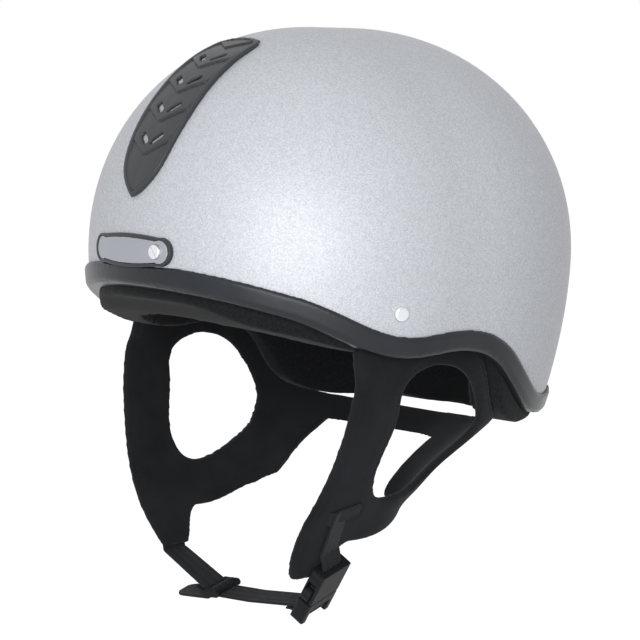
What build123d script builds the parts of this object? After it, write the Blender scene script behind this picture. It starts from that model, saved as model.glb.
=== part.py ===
"""A jockey skull cap: shell, trim, liner, vent, badge, padded harness and chin strap.

Millimetres, +Z up, front toward -Y, the wearer's left toward +X. The origin is the centre of
the dome, on the level where the shell is widest.
"""

import os
from math import cos, hypot, pi, radians, sin, sqrt

from build123d import *

os.makedirs("parts", exist_ok=True)

# Dome: two half ellipsoids with a short straight length between them
half_width = 119.0
front_reach = 116.9
rear_reach = 129.4
front_centre = -15.5
rear_centre = 10.3
crown_height = 120.4
skirt_reach = 216.0
skirt_depth = 112.0
crown_fullness_share = 2.05
skirt_fullness_share = 1.7
profile_steps = 6
shell_wall = 3.8
seat_gap = 0.2
overrun = 60.0
block_size = 500.0

# Lower edge of the shell in the side view
brow_level = -11.4
temple_level = -46.2
temple_back = -38.0
ear_level = -44.4
ear_back = -12.0
nape_level = -88.5
brow_edge_shares = (
    (0.0, 0.0),
    (0.165, 0.16),
    (0.30, 0.30),
    (0.42, 0.43),
    (0.52, 0.57),
    (0.62, 0.715),
    (0.72, 0.845),
    (0.82, 0.94),
    (1.0, 1.0),
)
nape_edge_shares = (
    (0.0, 0.0),
    (0.075, 0.02),
    (0.135, 0.07),
    (0.235, 0.265),
    (0.30, 0.455),
    (0.38, 0.68),
    (0.48, 0.885),
    (0.62, 0.97),
    (1.0, 1.0),
)

# Rubber trim
trim_height = 11.0
trim_proud = 2.4
trim_shoulder = 1.1
trim_shoulder_height = 1.5
trim_web = 2.4
trim_lip = 2.0
trim_clearance = 0.4

# Foam liner, its cloth cover and the pads
foam_wall = 20.0
cover_wall = 2.4
liner_brow_level = -19.0
liner_temple_level = -46.0
liner_ear_back = 2.0
liner_arch_back = 54.0
liner_arch_level = -90.5
liner_nape_level = -91.5
liner_brow_shares = (
    (0.0, 0.0),
    (0.11, 0.02),
    (0.16, 0.10),
    (0.22, 0.25),
    (0.31, 0.42),
    (0.41, 0.53),
    (0.53, 0.66),
    (0.67, 0.815),
    (0.80, 0.92),
    (1.0, 1.0),
)
liner_arch_shares = (
    (0.0, 0.0),
    (0.19, 0.085),
    (0.345, 0.24),
    (0.46, 0.45),
    (0.54, 0.675),
    (0.73, 0.867),
    (1.0, 1.0),
)
pad_wall = 6.0
pad_gap = 0.3
crown_pad_radius = 48.0
headband_top = 14.0
headband_clear = 9.0
headband_back = -24.0

# Leaf-shaped vent moulding on the brow
vent_origin_reach = -95.0
vent_origin_level = 72.8
vent_pitch = 49.0
vent_length = 107.0
vent_half_width = 20.0
vent_rim = 2.6
vent_side_shares = (
    (0.35, -0.452),
    (0.70, -0.374),
    (0.925, -0.215),
    (1.0, -0.047),
    (1.0, 0.13),
    (0.985, 0.30),
    (0.955, 0.42),
    (0.90, 0.485),
)
vent_top_share = 0.52
slot_first = -23.0
slot_pitch = 18.6
slot_offsets = (5.2, 5.9, 6.3, 6.6)
slot_length = 9.4
slot_width = 3.2
slot_lean = 38.0
scale_drop = 9.6
scale_rise = 11.0
scale_groove = 0.9
scale_depth = 0.5
air_hole_radius = 3.0
air_hole_row = 2

# Badge on the brow
badge_level = 6.2
badge_half_length = 32.5
badge_half_height = 8.6
badge_border = 1.8
badge_floor = 0.6
badge_corner_share = 0.72
badge_corner_height_share = 0.82
plate_proud = 2.0
plate_gap = 0.15
stud_offset = 22.0
stud_radius = 3.6
stud_proud = 1.2
stud_slot = 0.9
stud_slot_depth = 0.5
stud_turn = 35.0
stud_round = 0.5

# Side rivets
rivet_back = -48.0
rivet_level = -23.3
rivet_head_radius = 4.0
rivet_head_proud = 1.9
rivet_head_round = 1.5
rivet_shank_radius = 2.2
rivet_fit = 0.15
rivet_length = 13.2
washer_radius = 7.0
washer_wall = 1.2
washer_depth = 11.5

# Padded harness: a funnel that hugs the jaw and the nape
harness_wall = 4.6
harness_levels = (-8.0, -18.0, -27.0, -36.0, -45.0, -60.0, -80.0, -90.0, -100.0, -110.0,
                  -120.0, -130.0, -140.0, -150.0, -160.0, -170.0)
harness_half_widths = (108.4, 109.0, 108.4, 105.8, 104.4, 102.6, 99.6, 96.6, 93.0, 88.8,
                       83.6, 77.4, 71.2, 64.8, 59.6, 55.0)
harness_front_centres = (-30.0, -30.0, -30.0, -30.0, -30.0, -42.0, -50.0, -50.0, -50.0, -50.0,
                         -50.0, -50.0, -50.0, -50.0, -50.0, -50.0)
harness_front_reaches = (84.0, 84.0, 84.0, 85.0, 90.0, 120.0, 150.0, 150.0, 150.0, 150.0,
                         150.0, 140.0, 130.0, 120.0, 115.0, 110.0)
harness_rear_centres = (0.0, 0.0, 0.0, 0.0, 0.0, 0.0, 0.0, -6.0, -16.0, -26.0,
                        -28.0, -30.0, -30.0, -34.0, -46.0, -46.0)
harness_rear_reaches = (120.0, 120.0, 120.0, 120.0, 120.0, 114.0, 100.0, 66.0, 60.0, 53.0,
                        42.0, 40.0, 46.0, 44.0, 48.0, 42.0)
harness_rear_fullness = (2.0, 2.0, 2.0, 2.0, 2.0, 2.0, 2.0, 2.8, 2.7, 2.7,
                         2.7, 2.3, 2.0, 2.0, 2.0, 2.0)
quarter_steps = 4
nape_half_width = 34.0
pocket_clearance = 0.6
foam_clearance = 0.8

# Harness outline in the side view
strap_front = (
    (-56.0, -12.0),
    (-59.0, -28.0),
    (-63.0, -44.0),
    (-66.5, -62.0),
    (-70.6, -86.0),
    (-75.0, -110.0),
    (-78.2, -128.0),
    (-78.3, -142.0),
    (-76.0, -154.0),
    (-72.0, -163.0),
)
tab_rear = (
    (-55.0, -163.0),
    (-49.8, -150.5),
    (-44.0, -145.2),
)
strap_lower = (
    (-30.0, -144.0),
    (-14.5, -139.7),
    (-5.2, -134.4),
    (1.3, -128.5),
    (7.3, -122.8),
    (13.2, -117.4),
    (20.4, -112.1),
    (28.7, -107.0),
    (38.8, -101.6),
    (52.0, -98.6),
    (90.0, -98.0),
)
strap_upper = (
    (92.0, -91.4),
    (72.0, -91.4),
    (56.0, -90.6),
    (46.0, -87.4),
    (38.0, -82.5),
    (31.0, -74.0),
    (25.0, -61.0),
    (16.0, -46.0),
    (7.0, -32.0),
    (0.0, -12.0),
)
ear_hole = (
    (-33.0, -60.0),
    (-20.0, -53.2),
    (-5.0, -53.4),
    (9.0, -60.0),
    (17.0, -70.5),
    (21.6, -81.0),
    (21.4, -90.0),
    (15.8, -98.6),
    (5.5, -107.0),
    (-6.0, -114.0),
    (-17.0, -119.4),
    (-28.0, -121.4),
    (-38.5, -119.5),
    (-42.8, -111.0),
    (-41.0, -94.0),
    (-37.0, -75.0),
)

# Webbing, stitched patch and buckle
webbing_width = 15.0
webbing_wall = 1.6
webbing_rise = 36.0
patch_bottom = 26.5
patch_top = 34.0
patch_width = 17.6
patch_wall = 1.2
buckle_top = (66.5, -53.5, -156.5)
strap_sway = 11.0
strap_tilt = 13.0
buckle_lean = 36.0
buckle_width = 26.0
buckle_wall = 8.4
buckle_round = 2.4
buckle_corner = 3.0
buckle_clearance = 0.5
socket_length = 21.0
socket_skin = 1.6
socket_top = 6.8
web_slot_depth = 4.6
web_slot_gap = 0.3
web_rise = 7.5
web_bend = 3.0
tongue_gap = 0.35
tongue_base_length = 14.2
blade_half_width = 3.4
blade_length = 12.6
tongue_side_gap = 0.4
arm_inner = 6.8
arm_width = 3.2
arm_length = 11.0
arm_bulge = 5.4
arm_bulge_start = 3.0
arm_bulge_end = 9.8
arm_gap = 0.3
arm_root = 3.4
arm_pin_radius = 0.9
arm_pin_gap = 0.1
arm_pin_drop = 1.7
bar_radius = 1.5
bar_drop = 9.65
bar_end = 2.0
strap_side_gap = 0.4
tongue_window_start = 5.4

# Chin strap, slider and far webbing
chin_wall = 1.5
loop_gap = 0.3
chin_end = (-110.4, -30.4)
slider_place = -80.8
slider_bar_radius = 0.9
slider_bar_gap = 0.2
slider_pitch = 3.7
slider_loop_pitch = 5.6
slider_end = 0.9
slider_side = 1.8
slider_wall = 4.0
tail_drop = 3.7
strap_bend = 0.9
tail_round = 6.0
far_web_top = -136.0
far_web_foot = (-59.9, -62.5, -161.8)
far_web_slope = 26.0
far_web_turn = (-58.8, -62.6, -165.8)
far_web_turn_rise = 40.0
far_web_rise = 28.0


def spread(start, end, shares):
    """Points between two ends, each by its share of the run and of the drop."""
    run = end[0] - start[0]
    rise = end[1] - start[1]
    return [(start[0] + across * run, start[1] + down * rise) for across, down in shares]


def raised(points, height):
    """The same points moved square to the line they lie on."""
    moved = []
    last = len(points) - 1
    for place, (back, level) in enumerate(points):
        before = points[max(place - 1, 0)]
        after = points[min(place + 1, last)]
        run = after[0] - before[0]
        rise = after[1] - before[1]
        length = hypot(run, rise)
        moved.append((back - height * rise / length, level + height * run / length))
    return moved


def half_dome(inset, centre, reach, turn):
    """One end of the dome, drawn in from the outer skin by the inset."""
    wide = half_width - inset
    high = crown_height - inset
    deep = skirt_reach - inset
    middle = (0, centre, 0)
    angles = [pi / 2 * step / profile_steps for step in range(profile_steps + 1)]
    top = [
        (wide * cos(a) ** (2 / crown_fullness_share), high * sin(a) ** (2 / crown_fullness_share))
        for a in angles[:-1]
    ]
    top.append((0, high))
    skirt = []
    for step in range(profile_steps + 1):
        level = skirt_depth * step / profile_steps
        width = (1 - (level / deep) ** skirt_fullness_share) ** (1 / skirt_fullness_share)
        skirt.append((wide * width, -level))
    with BuildPart() as half:
        with BuildSketch(Plane.XZ.offset(-centre)):
            with BuildLine():
                Spline(top, tangents=((0, 1), (-1, 0)))
                Spline(skirt)
                Line(skirt[-1], (0, -skirt_depth))
                Line((0, -skirt_depth), (0, high))
            make_face()
        revolve(axis=Axis(middle, (0, 0, 1)), revolution_arc=turn)
        scale(by=(1, (reach - inset) / wide, 1), about=middle)
    return half.part


def dome(inset):
    """The whole dome, drawn in from the outer skin by the inset."""
    front = half_dome(inset, front_centre, front_reach, -180)
    rear = half_dome(inset, rear_centre, rear_reach, 180)
    with BuildPart() as whole:
        add(front)
        cut = front.faces().sort_by(Axis.Y)[-1]
        extrude(cut, amount=rear_centre - front_centre, dir=(0, 1, 0))
        add(rear)
    return whole.part


def above(points):
    """Everything above a line drawn in the side view."""
    first = (front_centre - front_reach - overrun, points[0][1])
    last = (rear_centre + rear_reach + overrun, points[-1][1])
    top = crown_height + overrun
    with BuildPart() as curtain:
        with BuildSketch(Plane.YZ):
            with BuildLine():
                Line(first, points[0])
                Spline(points)
                Line(points[-1], last)
                Polyline(last, (last[0], top), (first[0], top), first)
            make_face()
        extrude(amount=half_width + overrun, both=True)
    return curtain.part


def bowl(growth):
    """The left half of the funnel that the harness lies on."""
    with BuildPart() as funnel:
        for place, level in enumerate(harness_levels):
            wide = harness_half_widths[place] + growth
            front = harness_front_centres[place]
            rear = harness_rear_centres[place]
            ahead = harness_front_reaches[place] + growth
            behind = harness_rear_reaches[place] + growth
            turns = [pi / 2 * step / quarter_steps for step in range(quarter_steps + 1)]
            fore = [(wide * sin(a), front - ahead * cos(a)) for a in turns]
            power = 2 / harness_rear_fullness[place]
            aft = [(wide * cos(a) ** power, rear + behind * sin(a) ** power) for a in turns[:-1]]
            fore[0] = (0, front - ahead)
            aft.append((0, rear + behind))
            with BuildSketch(Plane.XY.offset(level)):
                with BuildLine():
                    Spline(fore, tangents=((1, 0), (0, 1)))
                    Line(fore[-1], aft[0])
                    Spline(aft, tangents=((0, 1), (-1, 0)))
                    Line(aft[-1], fore[0])
                make_face()
        loft()
    return funnel.part


def skin_place(back, level):
    """A plane on the outer skin of the dome, square to it, on the wearer's left."""
    centre = front_centre if back < front_centre else min(back, rear_centre)
    reach = front_reach if back < front_centre else rear_reach
    power = crown_fullness_share if level > 0 else skirt_fullness_share
    height = crown_height if level > 0 else skirt_reach
    drop = (abs(level) / height) ** power
    radius = (1 - drop) ** (1 / power)
    across = (back - centre) / reach
    side = half_width * sqrt(radius ** 2 - across ** 2)
    slope = radius ** (power - 2)
    normal = (
        slope * side / half_width ** 2,
        slope * across / reach,
        (abs(level) / height) ** (power - 1) / height * (1 if level > 0 else -1),
    )
    return Plane(origin=(side, back, level), x_dir=(0, 1, 0), z_dir=normal)


def side_outline(growth):
    """The harness panel outline in the side view, grown by a clearance."""
    front = raised(strap_front, -growth)
    tab = raised(tab_rear, -growth)
    lower = raised([tab_rear[-1], *strap_lower], -growth)
    upper = raised(strap_upper, -growth)
    with BuildSketch(Plane.YZ) as panel:
        with BuildLine():
            Spline(front)
            Polyline(front[-1], tab[0], tab[1], lower[0])
            Spline(lower)
            Line(lower[-1], upper[0])
            Spline(upper)
            Line(upper[-1], front[0])
        make_face()
    return panel.sketch


def lozenge(half_length, half_height):
    """The badge outline: nearly flat above and below, rounded at the ends."""
    corner = half_length * badge_corner_share
    shoulder = half_height * badge_corner_height_share
    with BuildSketch(Plane.XZ) as shape:
        with BuildLine():
            ThreePointArc((-corner, badge_level + shoulder), (0, badge_level + half_height),
                          (corner, badge_level + shoulder))
            ThreePointArc((corner, badge_level + shoulder), (half_length, badge_level),
                          (corner, badge_level - shoulder))
            ThreePointArc((corner, badge_level - shoulder), (0, badge_level - half_height),
                          (-corner, badge_level - shoulder))
            ThreePointArc((-corner, badge_level - shoulder), (-half_length, badge_level),
                          (-corner, badge_level + shoulder))
        make_face()
    return shape.sketch


def vent_sketch(inward):
    """The leaf outline, drawn in by the width of the rim."""
    wide = vent_half_width - inward
    long = vent_length - inward * 2
    side = [(across * wide, along * long) for across, along in vent_side_shares]
    tip = (0, -long / 2)
    crest = (0, long * vent_top_share)
    far_side = [(-across, along) for across, along in reversed(side)]
    with BuildSketch(vent_plane) as leaf:
        with BuildLine():
            Spline([tip, *side])
            ThreePointArc(side[-1], crest, far_side[0])
            Spline([*far_side, tip])
        make_face()
    return leaf.sketch


# Planes of the vent, the chin strap, the buckle and the slider
vent_plane = Plane(
    origin=(0, vent_origin_reach, vent_origin_level),
    x_dir=(1, 0, 0),
    z_dir=(0, -sin(radians(vent_pitch)), cos(radians(vent_pitch))),
)
slot_places = [slot_first + slot_pitch * place for place in range(len(slot_offsets))]
sway = radians(strap_sway)
tilt = radians(strap_tilt)
lean = radians(buckle_lean)
chin_plane = Plane(
    origin=buckle_top,
    x_dir=(cos(sway), sin(sway), 0),
    z_dir=(sin(sway) * cos(tilt), -cos(sway) * cos(tilt), -sin(tilt)),
)
buckle_plane = Plane(
    origin=buckle_top,
    x_dir=-chin_plane.z_dir,
    z_dir=chin_plane.x_dir * cos(lean) - chin_plane.y_dir * sin(lean),
)
bar_place = socket_length + tongue_gap + bar_drop
bar_spot = (-bar_place * sin(lean), -bar_place * cos(lean))
loop_inner = bar_radius + loop_gap
loop_outer = loop_inner + chin_wall
chin_reach = hypot(chin_end[0] - bar_spot[0], chin_end[1] - bar_spot[1])
run_back = (bar_spot[0] - chin_end[0]) / chin_reach
rise_back = (bar_spot[1] - chin_end[1]) / chin_reach
strap_plane = Plane(
    origin=chin_plane.from_local_coords((bar_spot[0], bar_spot[1], 0)),
    x_dir=chin_plane.x_dir * run_back + chin_plane.y_dir * rise_back,
    z_dir=chin_plane.z_dir,
)
band_level = loop_outer - chin_wall / 2
slider_rise = slider_bar_radius + slider_bar_gap + chin_wall / 2
slider_along = slider_place - bar_spot[0]
slider_level = band_level + slider_rise
slider_plane = Plane(
    origin=strap_plane.from_local_coords((slider_along, slider_level, 0)),
    x_dir=strap_plane.x_dir,
    z_dir=strap_plane.z_dir,
)

# Shared skins and lines
skin_outer = dome(0)
skin_inner = dome(shell_wall)
skin_trim = dome(-trim_proud)
skin_shoulder = dome(-(trim_proud - trim_shoulder))
rim_line = spread((front_centre - front_reach, brow_level), (temple_back, temple_level),
                  brow_edge_shares)
rim_line += spread((ear_back, ear_level), (rear_centre + rear_reach, nape_level),
                   nape_edge_shares)
liner_line = spread((front_centre - front_reach, liner_brow_level),
                    (temple_back, liner_temple_level), liner_brow_shares)
liner_line += spread((liner_ear_back, liner_temple_level), (liner_arch_back, liner_arch_level),
                     liner_arch_shares)
liner_line.append((rear_centre + rear_reach, liner_nape_level))
above_rim = above(rim_line)
above_shell = above(raised(rim_line, trim_web))
above_trim = above(raised(rim_line, trim_height))
harness_skin = bowl(0)
harness_lining = bowl(-harness_wall)
left_spot = skin_place(rivet_back, rivet_level)
right_spot = Plane(
    origin=(-left_spot.origin.X, left_spot.origin.Y, left_spot.origin.Z),
    x_dir=(0, 1, 0),
    z_dir=(-left_spot.z_dir.X, left_spot.z_dir.Y, left_spot.z_dir.Z),
)

# Outer shell with the air holes under the vent and the holes of the side rivets
with BuildPart() as shell_blank:
    add(skin_outer)
    add(skin_inner, mode=Mode.SUBTRACT)
    add(above_shell, mode=Mode.INTERSECT)
with BuildPart() as air_holes:
    with BuildSketch(vent_plane):
        for along in slot_places[-air_hole_row:]:
            with Locations((-slot_offsets[-1], along), (slot_offsets[-1], along)):
                Circle(air_hole_radius)
    extrude(amount=overrun, both=True)
with BuildPart() as outer_shell:
    add(shell_blank.part)
    add(air_holes.part, mode=Mode.SUBTRACT)
    for spot in (left_spot, right_spot):
        with BuildSketch(spot):
            Circle(rivet_shank_radius + rivet_fit)
        extrude(amount=rivet_length, both=True, mode=Mode.SUBTRACT)

# Rubber trim round the whole edge
with BuildPart() as trim_crown:
    add(skin_trim)
    add(above(raised(rim_line, trim_shoulder_height)), mode=Mode.INTERSECT)
    add(above(raised(rim_line, trim_height - trim_shoulder_height)), mode=Mode.SUBTRACT)
with BuildPart() as edge_trim:
    add(skin_shoulder)
    add(above_rim, mode=Mode.INTERSECT)
    add(above_trim, mode=Mode.SUBTRACT)
    add(trim_crown.part)
    add(dome(shell_wall + trim_lip), mode=Mode.SUBTRACT)
    add(shell_blank.part, mode=Mode.SUBTRACT)

# Vent moulding: a rim round a sunken field of scales, each with a pair of slots
vent_leaf = vent_sketch(0)
vent_well = vent_sketch(vent_rim)
with BuildPart() as vent_field:
    extrude(vent_well, amount=overrun)
    add(skin_shoulder, mode=Mode.SUBTRACT)
with BuildPart() as vent_grooves:
    with BuildSketch(vent_plane):
        for along in slot_places:
            low = along - scale_drop
            high = low + scale_rise
            with BuildLine():
                Polyline(
                    (-vent_half_width, high),
                    (0, low),
                    (vent_half_width, high),
                    (vent_half_width, high + scale_groove),
                    (0, low + scale_groove),
                    (-vent_half_width, high + scale_groove),
                    close=True,
                )
            make_face()
    extrude(amount=overrun)
    extrude(vent_well, amount=overrun, mode=Mode.INTERSECT)
    add(dome(-scale_depth), mode=Mode.SUBTRACT)
with BuildPart() as vent_cover:
    extrude(vent_leaf, amount=overrun)
    add(skin_trim, mode=Mode.INTERSECT)
    add(skin_outer, mode=Mode.SUBTRACT)
    with BuildSketch(vent_plane):
        for across, along in zip(slot_offsets, slot_places):
            for side in (1, -1):
                with Locations(Location((side * across, along, 0), (0, 0, side * slot_lean))):
                    SlotOverall(slot_length, slot_width)
    extrude(amount=overrun, mode=Mode.SUBTRACT)
    add(vent_field.part, mode=Mode.SUBTRACT)
    add(vent_grooves.part, mode=Mode.SUBTRACT)

# Badge: dark surround, bare plate and two slotted studs
badge_length = front_reach - front_centre + overrun
with BuildPart() as badge_well:
    extrude(lozenge(badge_half_length - badge_border, badge_half_height - badge_border),
            amount=badge_length)
    add(dome(-badge_floor), mode=Mode.SUBTRACT)
with BuildPart() as badge_surround:
    extrude(lozenge(badge_half_length, badge_half_height), amount=badge_length)
    add(skin_trim, mode=Mode.INTERSECT)
    add(skin_outer, mode=Mode.SUBTRACT)
    add(badge_well.part, mode=Mode.SUBTRACT)
    add(edge_trim.part, mode=Mode.SUBTRACT)
stud_drop = (badge_level / crown_height) ** crown_fullness_share
stud_share = (1 - stud_drop) ** (1 / crown_fullness_share)
stud_across = stud_offset / half_width
stud_back = front_centre - front_reach * sqrt(stud_share ** 2 - stud_across ** 2)
stud_skin = skin_place(stud_back, badge_level)
stud_plane = Plane(origin=stud_skin.origin, x_dir=(0, 0, 1), z_dir=stud_skin.z_dir)
with BuildPart() as badge_stud:
    with BuildSketch(stud_plane.offset(badge_floor + plate_gap)):
        Circle(stud_radius)
    extrude(amount=plate_proud + stud_proud - badge_floor - plate_gap)
    fillet(badge_stud.faces().filter_by(GeomType.PLANE).sort_by(Axis.Y)[:1].edges(),
           radius=stud_round)
    with BuildSketch(stud_plane.offset(plate_proud + stud_proud)):
        Rectangle(stud_radius * 2 + stud_slot, stud_slot, rotation=stud_turn)
    extrude(amount=-stud_slot_depth, mode=Mode.SUBTRACT)
with BuildPart() as badge_plate:
    extrude(lozenge(badge_half_length - badge_border - plate_gap,
                    badge_half_height - badge_border - plate_gap), amount=badge_length)
    add(dome(-plate_proud), mode=Mode.INTERSECT)
    add(dome(-badge_floor), mode=Mode.SUBTRACT)
    add(edge_trim.part, mode=Mode.SUBTRACT)
    with BuildSketch(stud_plane):
        Circle(stud_radius)
    extrude(amount=overrun, mode=Mode.SUBTRACT)

# Side rivets and their washers
with BuildPart() as side_rivets:
    for spot in (left_spot, right_spot):
        with BuildSketch(spot.offset(-rivet_length)):
            Circle(rivet_shank_radius)
        extrude(amount=rivet_length)
        with BuildSketch(spot):
            Circle(rivet_head_radius)
        extrude(amount=rivet_head_proud)
    tops = side_rivets.faces().filter_by(GeomType.PLANE).sort_by(Axis.X)
    fillet((tops[:1] + tops[-1:]).edges(), radius=rivet_head_round)
with BuildPart() as rivet_washers:
    for spot in (left_spot, right_spot):
        with BuildSketch(spot.offset(-washer_depth)):
            Circle(washer_radius)
            Circle(rivet_shank_radius, mode=Mode.SUBTRACT)
        extrude(amount=-washer_wall)

# Room for the inner lip of the trim, which the harness and the liner keep clear of
with BuildPart() as trim_room:
    add(skin_inner)
    add(dome(shell_wall + trim_lip + trim_clearance), mode=Mode.SUBTRACT)
    add(above(raised(rim_line, -trim_clearance)), mode=Mode.INTERSECT)
    add(above(raised(rim_line, trim_height + trim_clearance)), mode=Mode.SUBTRACT)

# Left and right sides of the padded harness
outline = side_outline(0)
with BuildPart() as rear_room:
    with BuildSketch(Plane.XZ):
        Rectangle(nape_half_width * 2, block_size)
    extrude(amount=-block_size / 2)
with BuildPart() as side_blank:
    add(harness_skin)
    add(harness_lining, mode=Mode.SUBTRACT)
    extrude(outline, amount=half_width, mode=Mode.INTERSECT)
    with BuildSketch(Plane.YZ):
        with BuildLine():
            Spline(ear_hole, periodic=True)
        make_face()
    extrude(amount=half_width, mode=Mode.SUBTRACT)
    add(trim_room.part, mode=Mode.SUBTRACT)
with BuildPart() as right_harness:
    mirror(side_blank.part, about=Plane.YZ)
    add(rear_room.part, mode=Mode.SUBTRACT)
    with BuildSketch(right_spot):
        Circle(rivet_shank_radius + rivet_fit)
    extrude(amount=-half_width / 2, mode=Mode.SUBTRACT)
with BuildPart() as left_harness:
    add(side_blank.part)
    add(rear_room.part, mode=Mode.SUBTRACT)
    with BuildSketch(left_spot):
        Circle(rivet_shank_radius + rivet_fit)
    extrude(amount=-half_width / 2, mode=Mode.SUBTRACT)
    with BuildSketch(buckle_plane.offset(-buckle_wall / 2 - buckle_clearance)):
        with Locations((0, -socket_length / 2)):
            Rectangle(buckle_width + buckle_clearance * 2, socket_length + buckle_clearance * 2)
    extrude(amount=buckle_wall + buckle_clearance * 2, mode=Mode.SUBTRACT)

# Nape strap
with BuildPart() as nape_strap:
    add(side_blank.part)
    add(rear_room.part, mode=Mode.INTERSECT)
    mirror(about=Plane.YZ)

# Foam liner, cloth cover and pads
with BuildPart() as harness_room:
    extrude(side_outline(pocket_clearance), amount=half_width)
    add(bowl(-(harness_wall + foam_clearance)), mode=Mode.SUBTRACT)
    with BuildSketch(left_spot):
        Circle(washer_radius + pocket_clearance)
    extrude(amount=-(rivet_length + foam_clearance))
    mirror(about=Plane.YZ)
above_liner = above(liner_line)
skin_foam = dome(shell_wall + seat_gap)
with BuildPart() as foam_blank:
    add(skin_foam)
    add(dome(shell_wall + seat_gap + foam_wall), mode=Mode.SUBTRACT)
    add(above(raised(liner_line, cover_wall)), mode=Mode.INTERSECT)
with BuildPart() as impact_liner:
    add(foam_blank.part)
    add(trim_room.part, mode=Mode.SUBTRACT)
    add(air_holes.part, mode=Mode.SUBTRACT)
    add(harness_room.part, mode=Mode.SUBTRACT)
with BuildPart() as liner_cover:
    add(skin_foam)
    add(dome(shell_wall + seat_gap + foam_wall + cover_wall), mode=Mode.SUBTRACT)
    add(above_liner, mode=Mode.INTERSECT)
    add(foam_blank.part, mode=Mode.SUBTRACT)
    add(trim_room.part, mode=Mode.SUBTRACT)
    add(air_holes.part, mode=Mode.SUBTRACT)
    add(harness_room.part, mode=Mode.SUBTRACT)
pad_inset = shell_wall + seat_gap + foam_wall + cover_wall + pad_gap
with BuildPart() as pad_blank:
    add(dome(pad_inset))
    add(dome(pad_inset + pad_wall), mode=Mode.SUBTRACT)
with BuildPart() as headband_pad:
    add(pad_blank.part)
    add(above(raised(liner_line, headband_clear)), mode=Mode.INTERSECT)
    with BuildSketch(Plane.XZ.offset(-headband_back)):
        Rectangle(block_size, block_size)
    extrude(amount=block_size / 2, mode=Mode.INTERSECT)
    with BuildSketch(Plane.XY.offset(headband_top)):
        Rectangle(block_size, block_size)
    extrude(amount=-block_size / 2, mode=Mode.INTERSECT)
with BuildPart() as crown_pad:
    add(pad_blank.part)
    with BuildSketch(Plane.XY):
        Circle(crown_pad_radius)
    extrude(amount=crown_height, mode=Mode.INTERSECT)

# Webbing and stitched patch on the left side
webbing_skin = bowl(webbing_wall)
web_low = web_rise / 2
with BuildPart() as web_strip:
    add(webbing_skin)
    with BuildSketch(chin_plane.offset(-webbing_width / 2)):
        with Locations((0, (web_low + webbing_rise) / 2)):
            Rectangle(half_width, webbing_rise - web_low)
    extrude(amount=webbing_width, mode=Mode.INTERSECT)
web_end = web_slot_depth - web_slot_gap
with BuildPart() as left_webbing:
    with BuildSketch(chin_plane.offset(-webbing_width / 2)):
        with BuildLine():
            FilletPolyline((0, web_rise), (0, 0), (-web_end * sin(lean), -web_end * cos(lean)),
                           radius=web_bend)
        trace(line_width=webbing_wall)
    extrude(amount=webbing_width)
    add(web_strip.part)
    add(harness_skin, mode=Mode.SUBTRACT)
with BuildPart() as stitched_patch:
    add(bowl(webbing_wall + patch_wall))
    with BuildSketch(chin_plane.offset(-patch_width / 2)):
        with Locations((0, (patch_bottom + patch_top) / 2)):
            Rectangle(half_width, patch_top - patch_bottom)
    extrude(amount=patch_width, mode=Mode.INTERSECT)
    add(harness_skin, mode=Mode.SUBTRACT)
    add(left_webbing.part, mode=Mode.SUBTRACT)

# Buckle: socket, tongue with the strap bar, and two sprung release arms
buckle_end = Plane(
    origin=buckle_top,
    x_dir=buckle_plane.x_dir,
    z_dir=-buckle_plane.y_dir,
)
mouth = socket_length + tongue_gap
inner_wall = buckle_wall - socket_skin * 2
blade_wall = inner_wall - tongue_side_gap * 2
with BuildPart() as buckle_socket:
    with BuildSketch(buckle_end):
        RectangleRounded(buckle_width, buckle_wall, buckle_round)
    extrude(amount=socket_length)
    with BuildSketch(buckle_plane.offset(-buckle_wall)):
        with Locations((0, -socket_length / 2)):
            RectangleRounded(buckle_width, socket_length, buckle_corner)
    extrude(amount=buckle_wall * 2, mode=Mode.INTERSECT)
    with BuildSketch(buckle_end.offset(socket_top)):
        Rectangle(buckle_width * 2, inner_wall)
    extrude(amount=socket_length, mode=Mode.SUBTRACT)
    with BuildSketch(buckle_end):
        Rectangle(webbing_width + web_slot_gap * 2, webbing_wall + web_slot_gap * 2)
    extrude(amount=web_slot_depth, mode=Mode.SUBTRACT)
pin_across = arm_inner + arm_width / 2
with BuildPart() as buckle_tongue:
    with BuildSketch(buckle_end.offset(mouth)):
        RectangleRounded(buckle_width, buckle_wall, buckle_round)
    extrude(amount=tongue_base_length)
    with BuildSketch(buckle_plane.offset(-buckle_wall)):
        with Locations((0, -mouth - tongue_base_length / 2)):
            RectangleRounded(buckle_width, tongue_base_length, buckle_corner)
    extrude(amount=buckle_wall * 2, mode=Mode.INTERSECT)
    with BuildSketch(buckle_end.offset(mouth + tongue_window_start)):
        Rectangle(webbing_width + strap_side_gap * 2, buckle_wall * 2)
    extrude(amount=tongue_base_length, mode=Mode.SUBTRACT)
    with BuildSketch(strap_plane.offset(-buckle_width / 2 + bar_end)):
        Circle(bar_radius)
    extrude(amount=buckle_width - bar_end * 2)
    with BuildSketch(buckle_end.offset(mouth + arm_root)):
        Rectangle(blade_half_width * 2, blade_wall)
    extrude(amount=-blade_length - arm_root)
    with BuildSketch(buckle_end.offset(mouth)):
        with Locations((-pin_across, 0), (pin_across, 0)):
            Rectangle(arm_width + arm_gap * 2, inner_wall)
    extrude(amount=arm_root + arm_gap, mode=Mode.SUBTRACT)
    with BuildSketch(buckle_plane.offset(-inner_wall / 2)):
        with Locations((-pin_across, -mouth - arm_pin_drop), (pin_across, -mouth - arm_pin_drop)):
            Circle(arm_pin_radius)
    extrude(amount=inner_wall)


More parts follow.
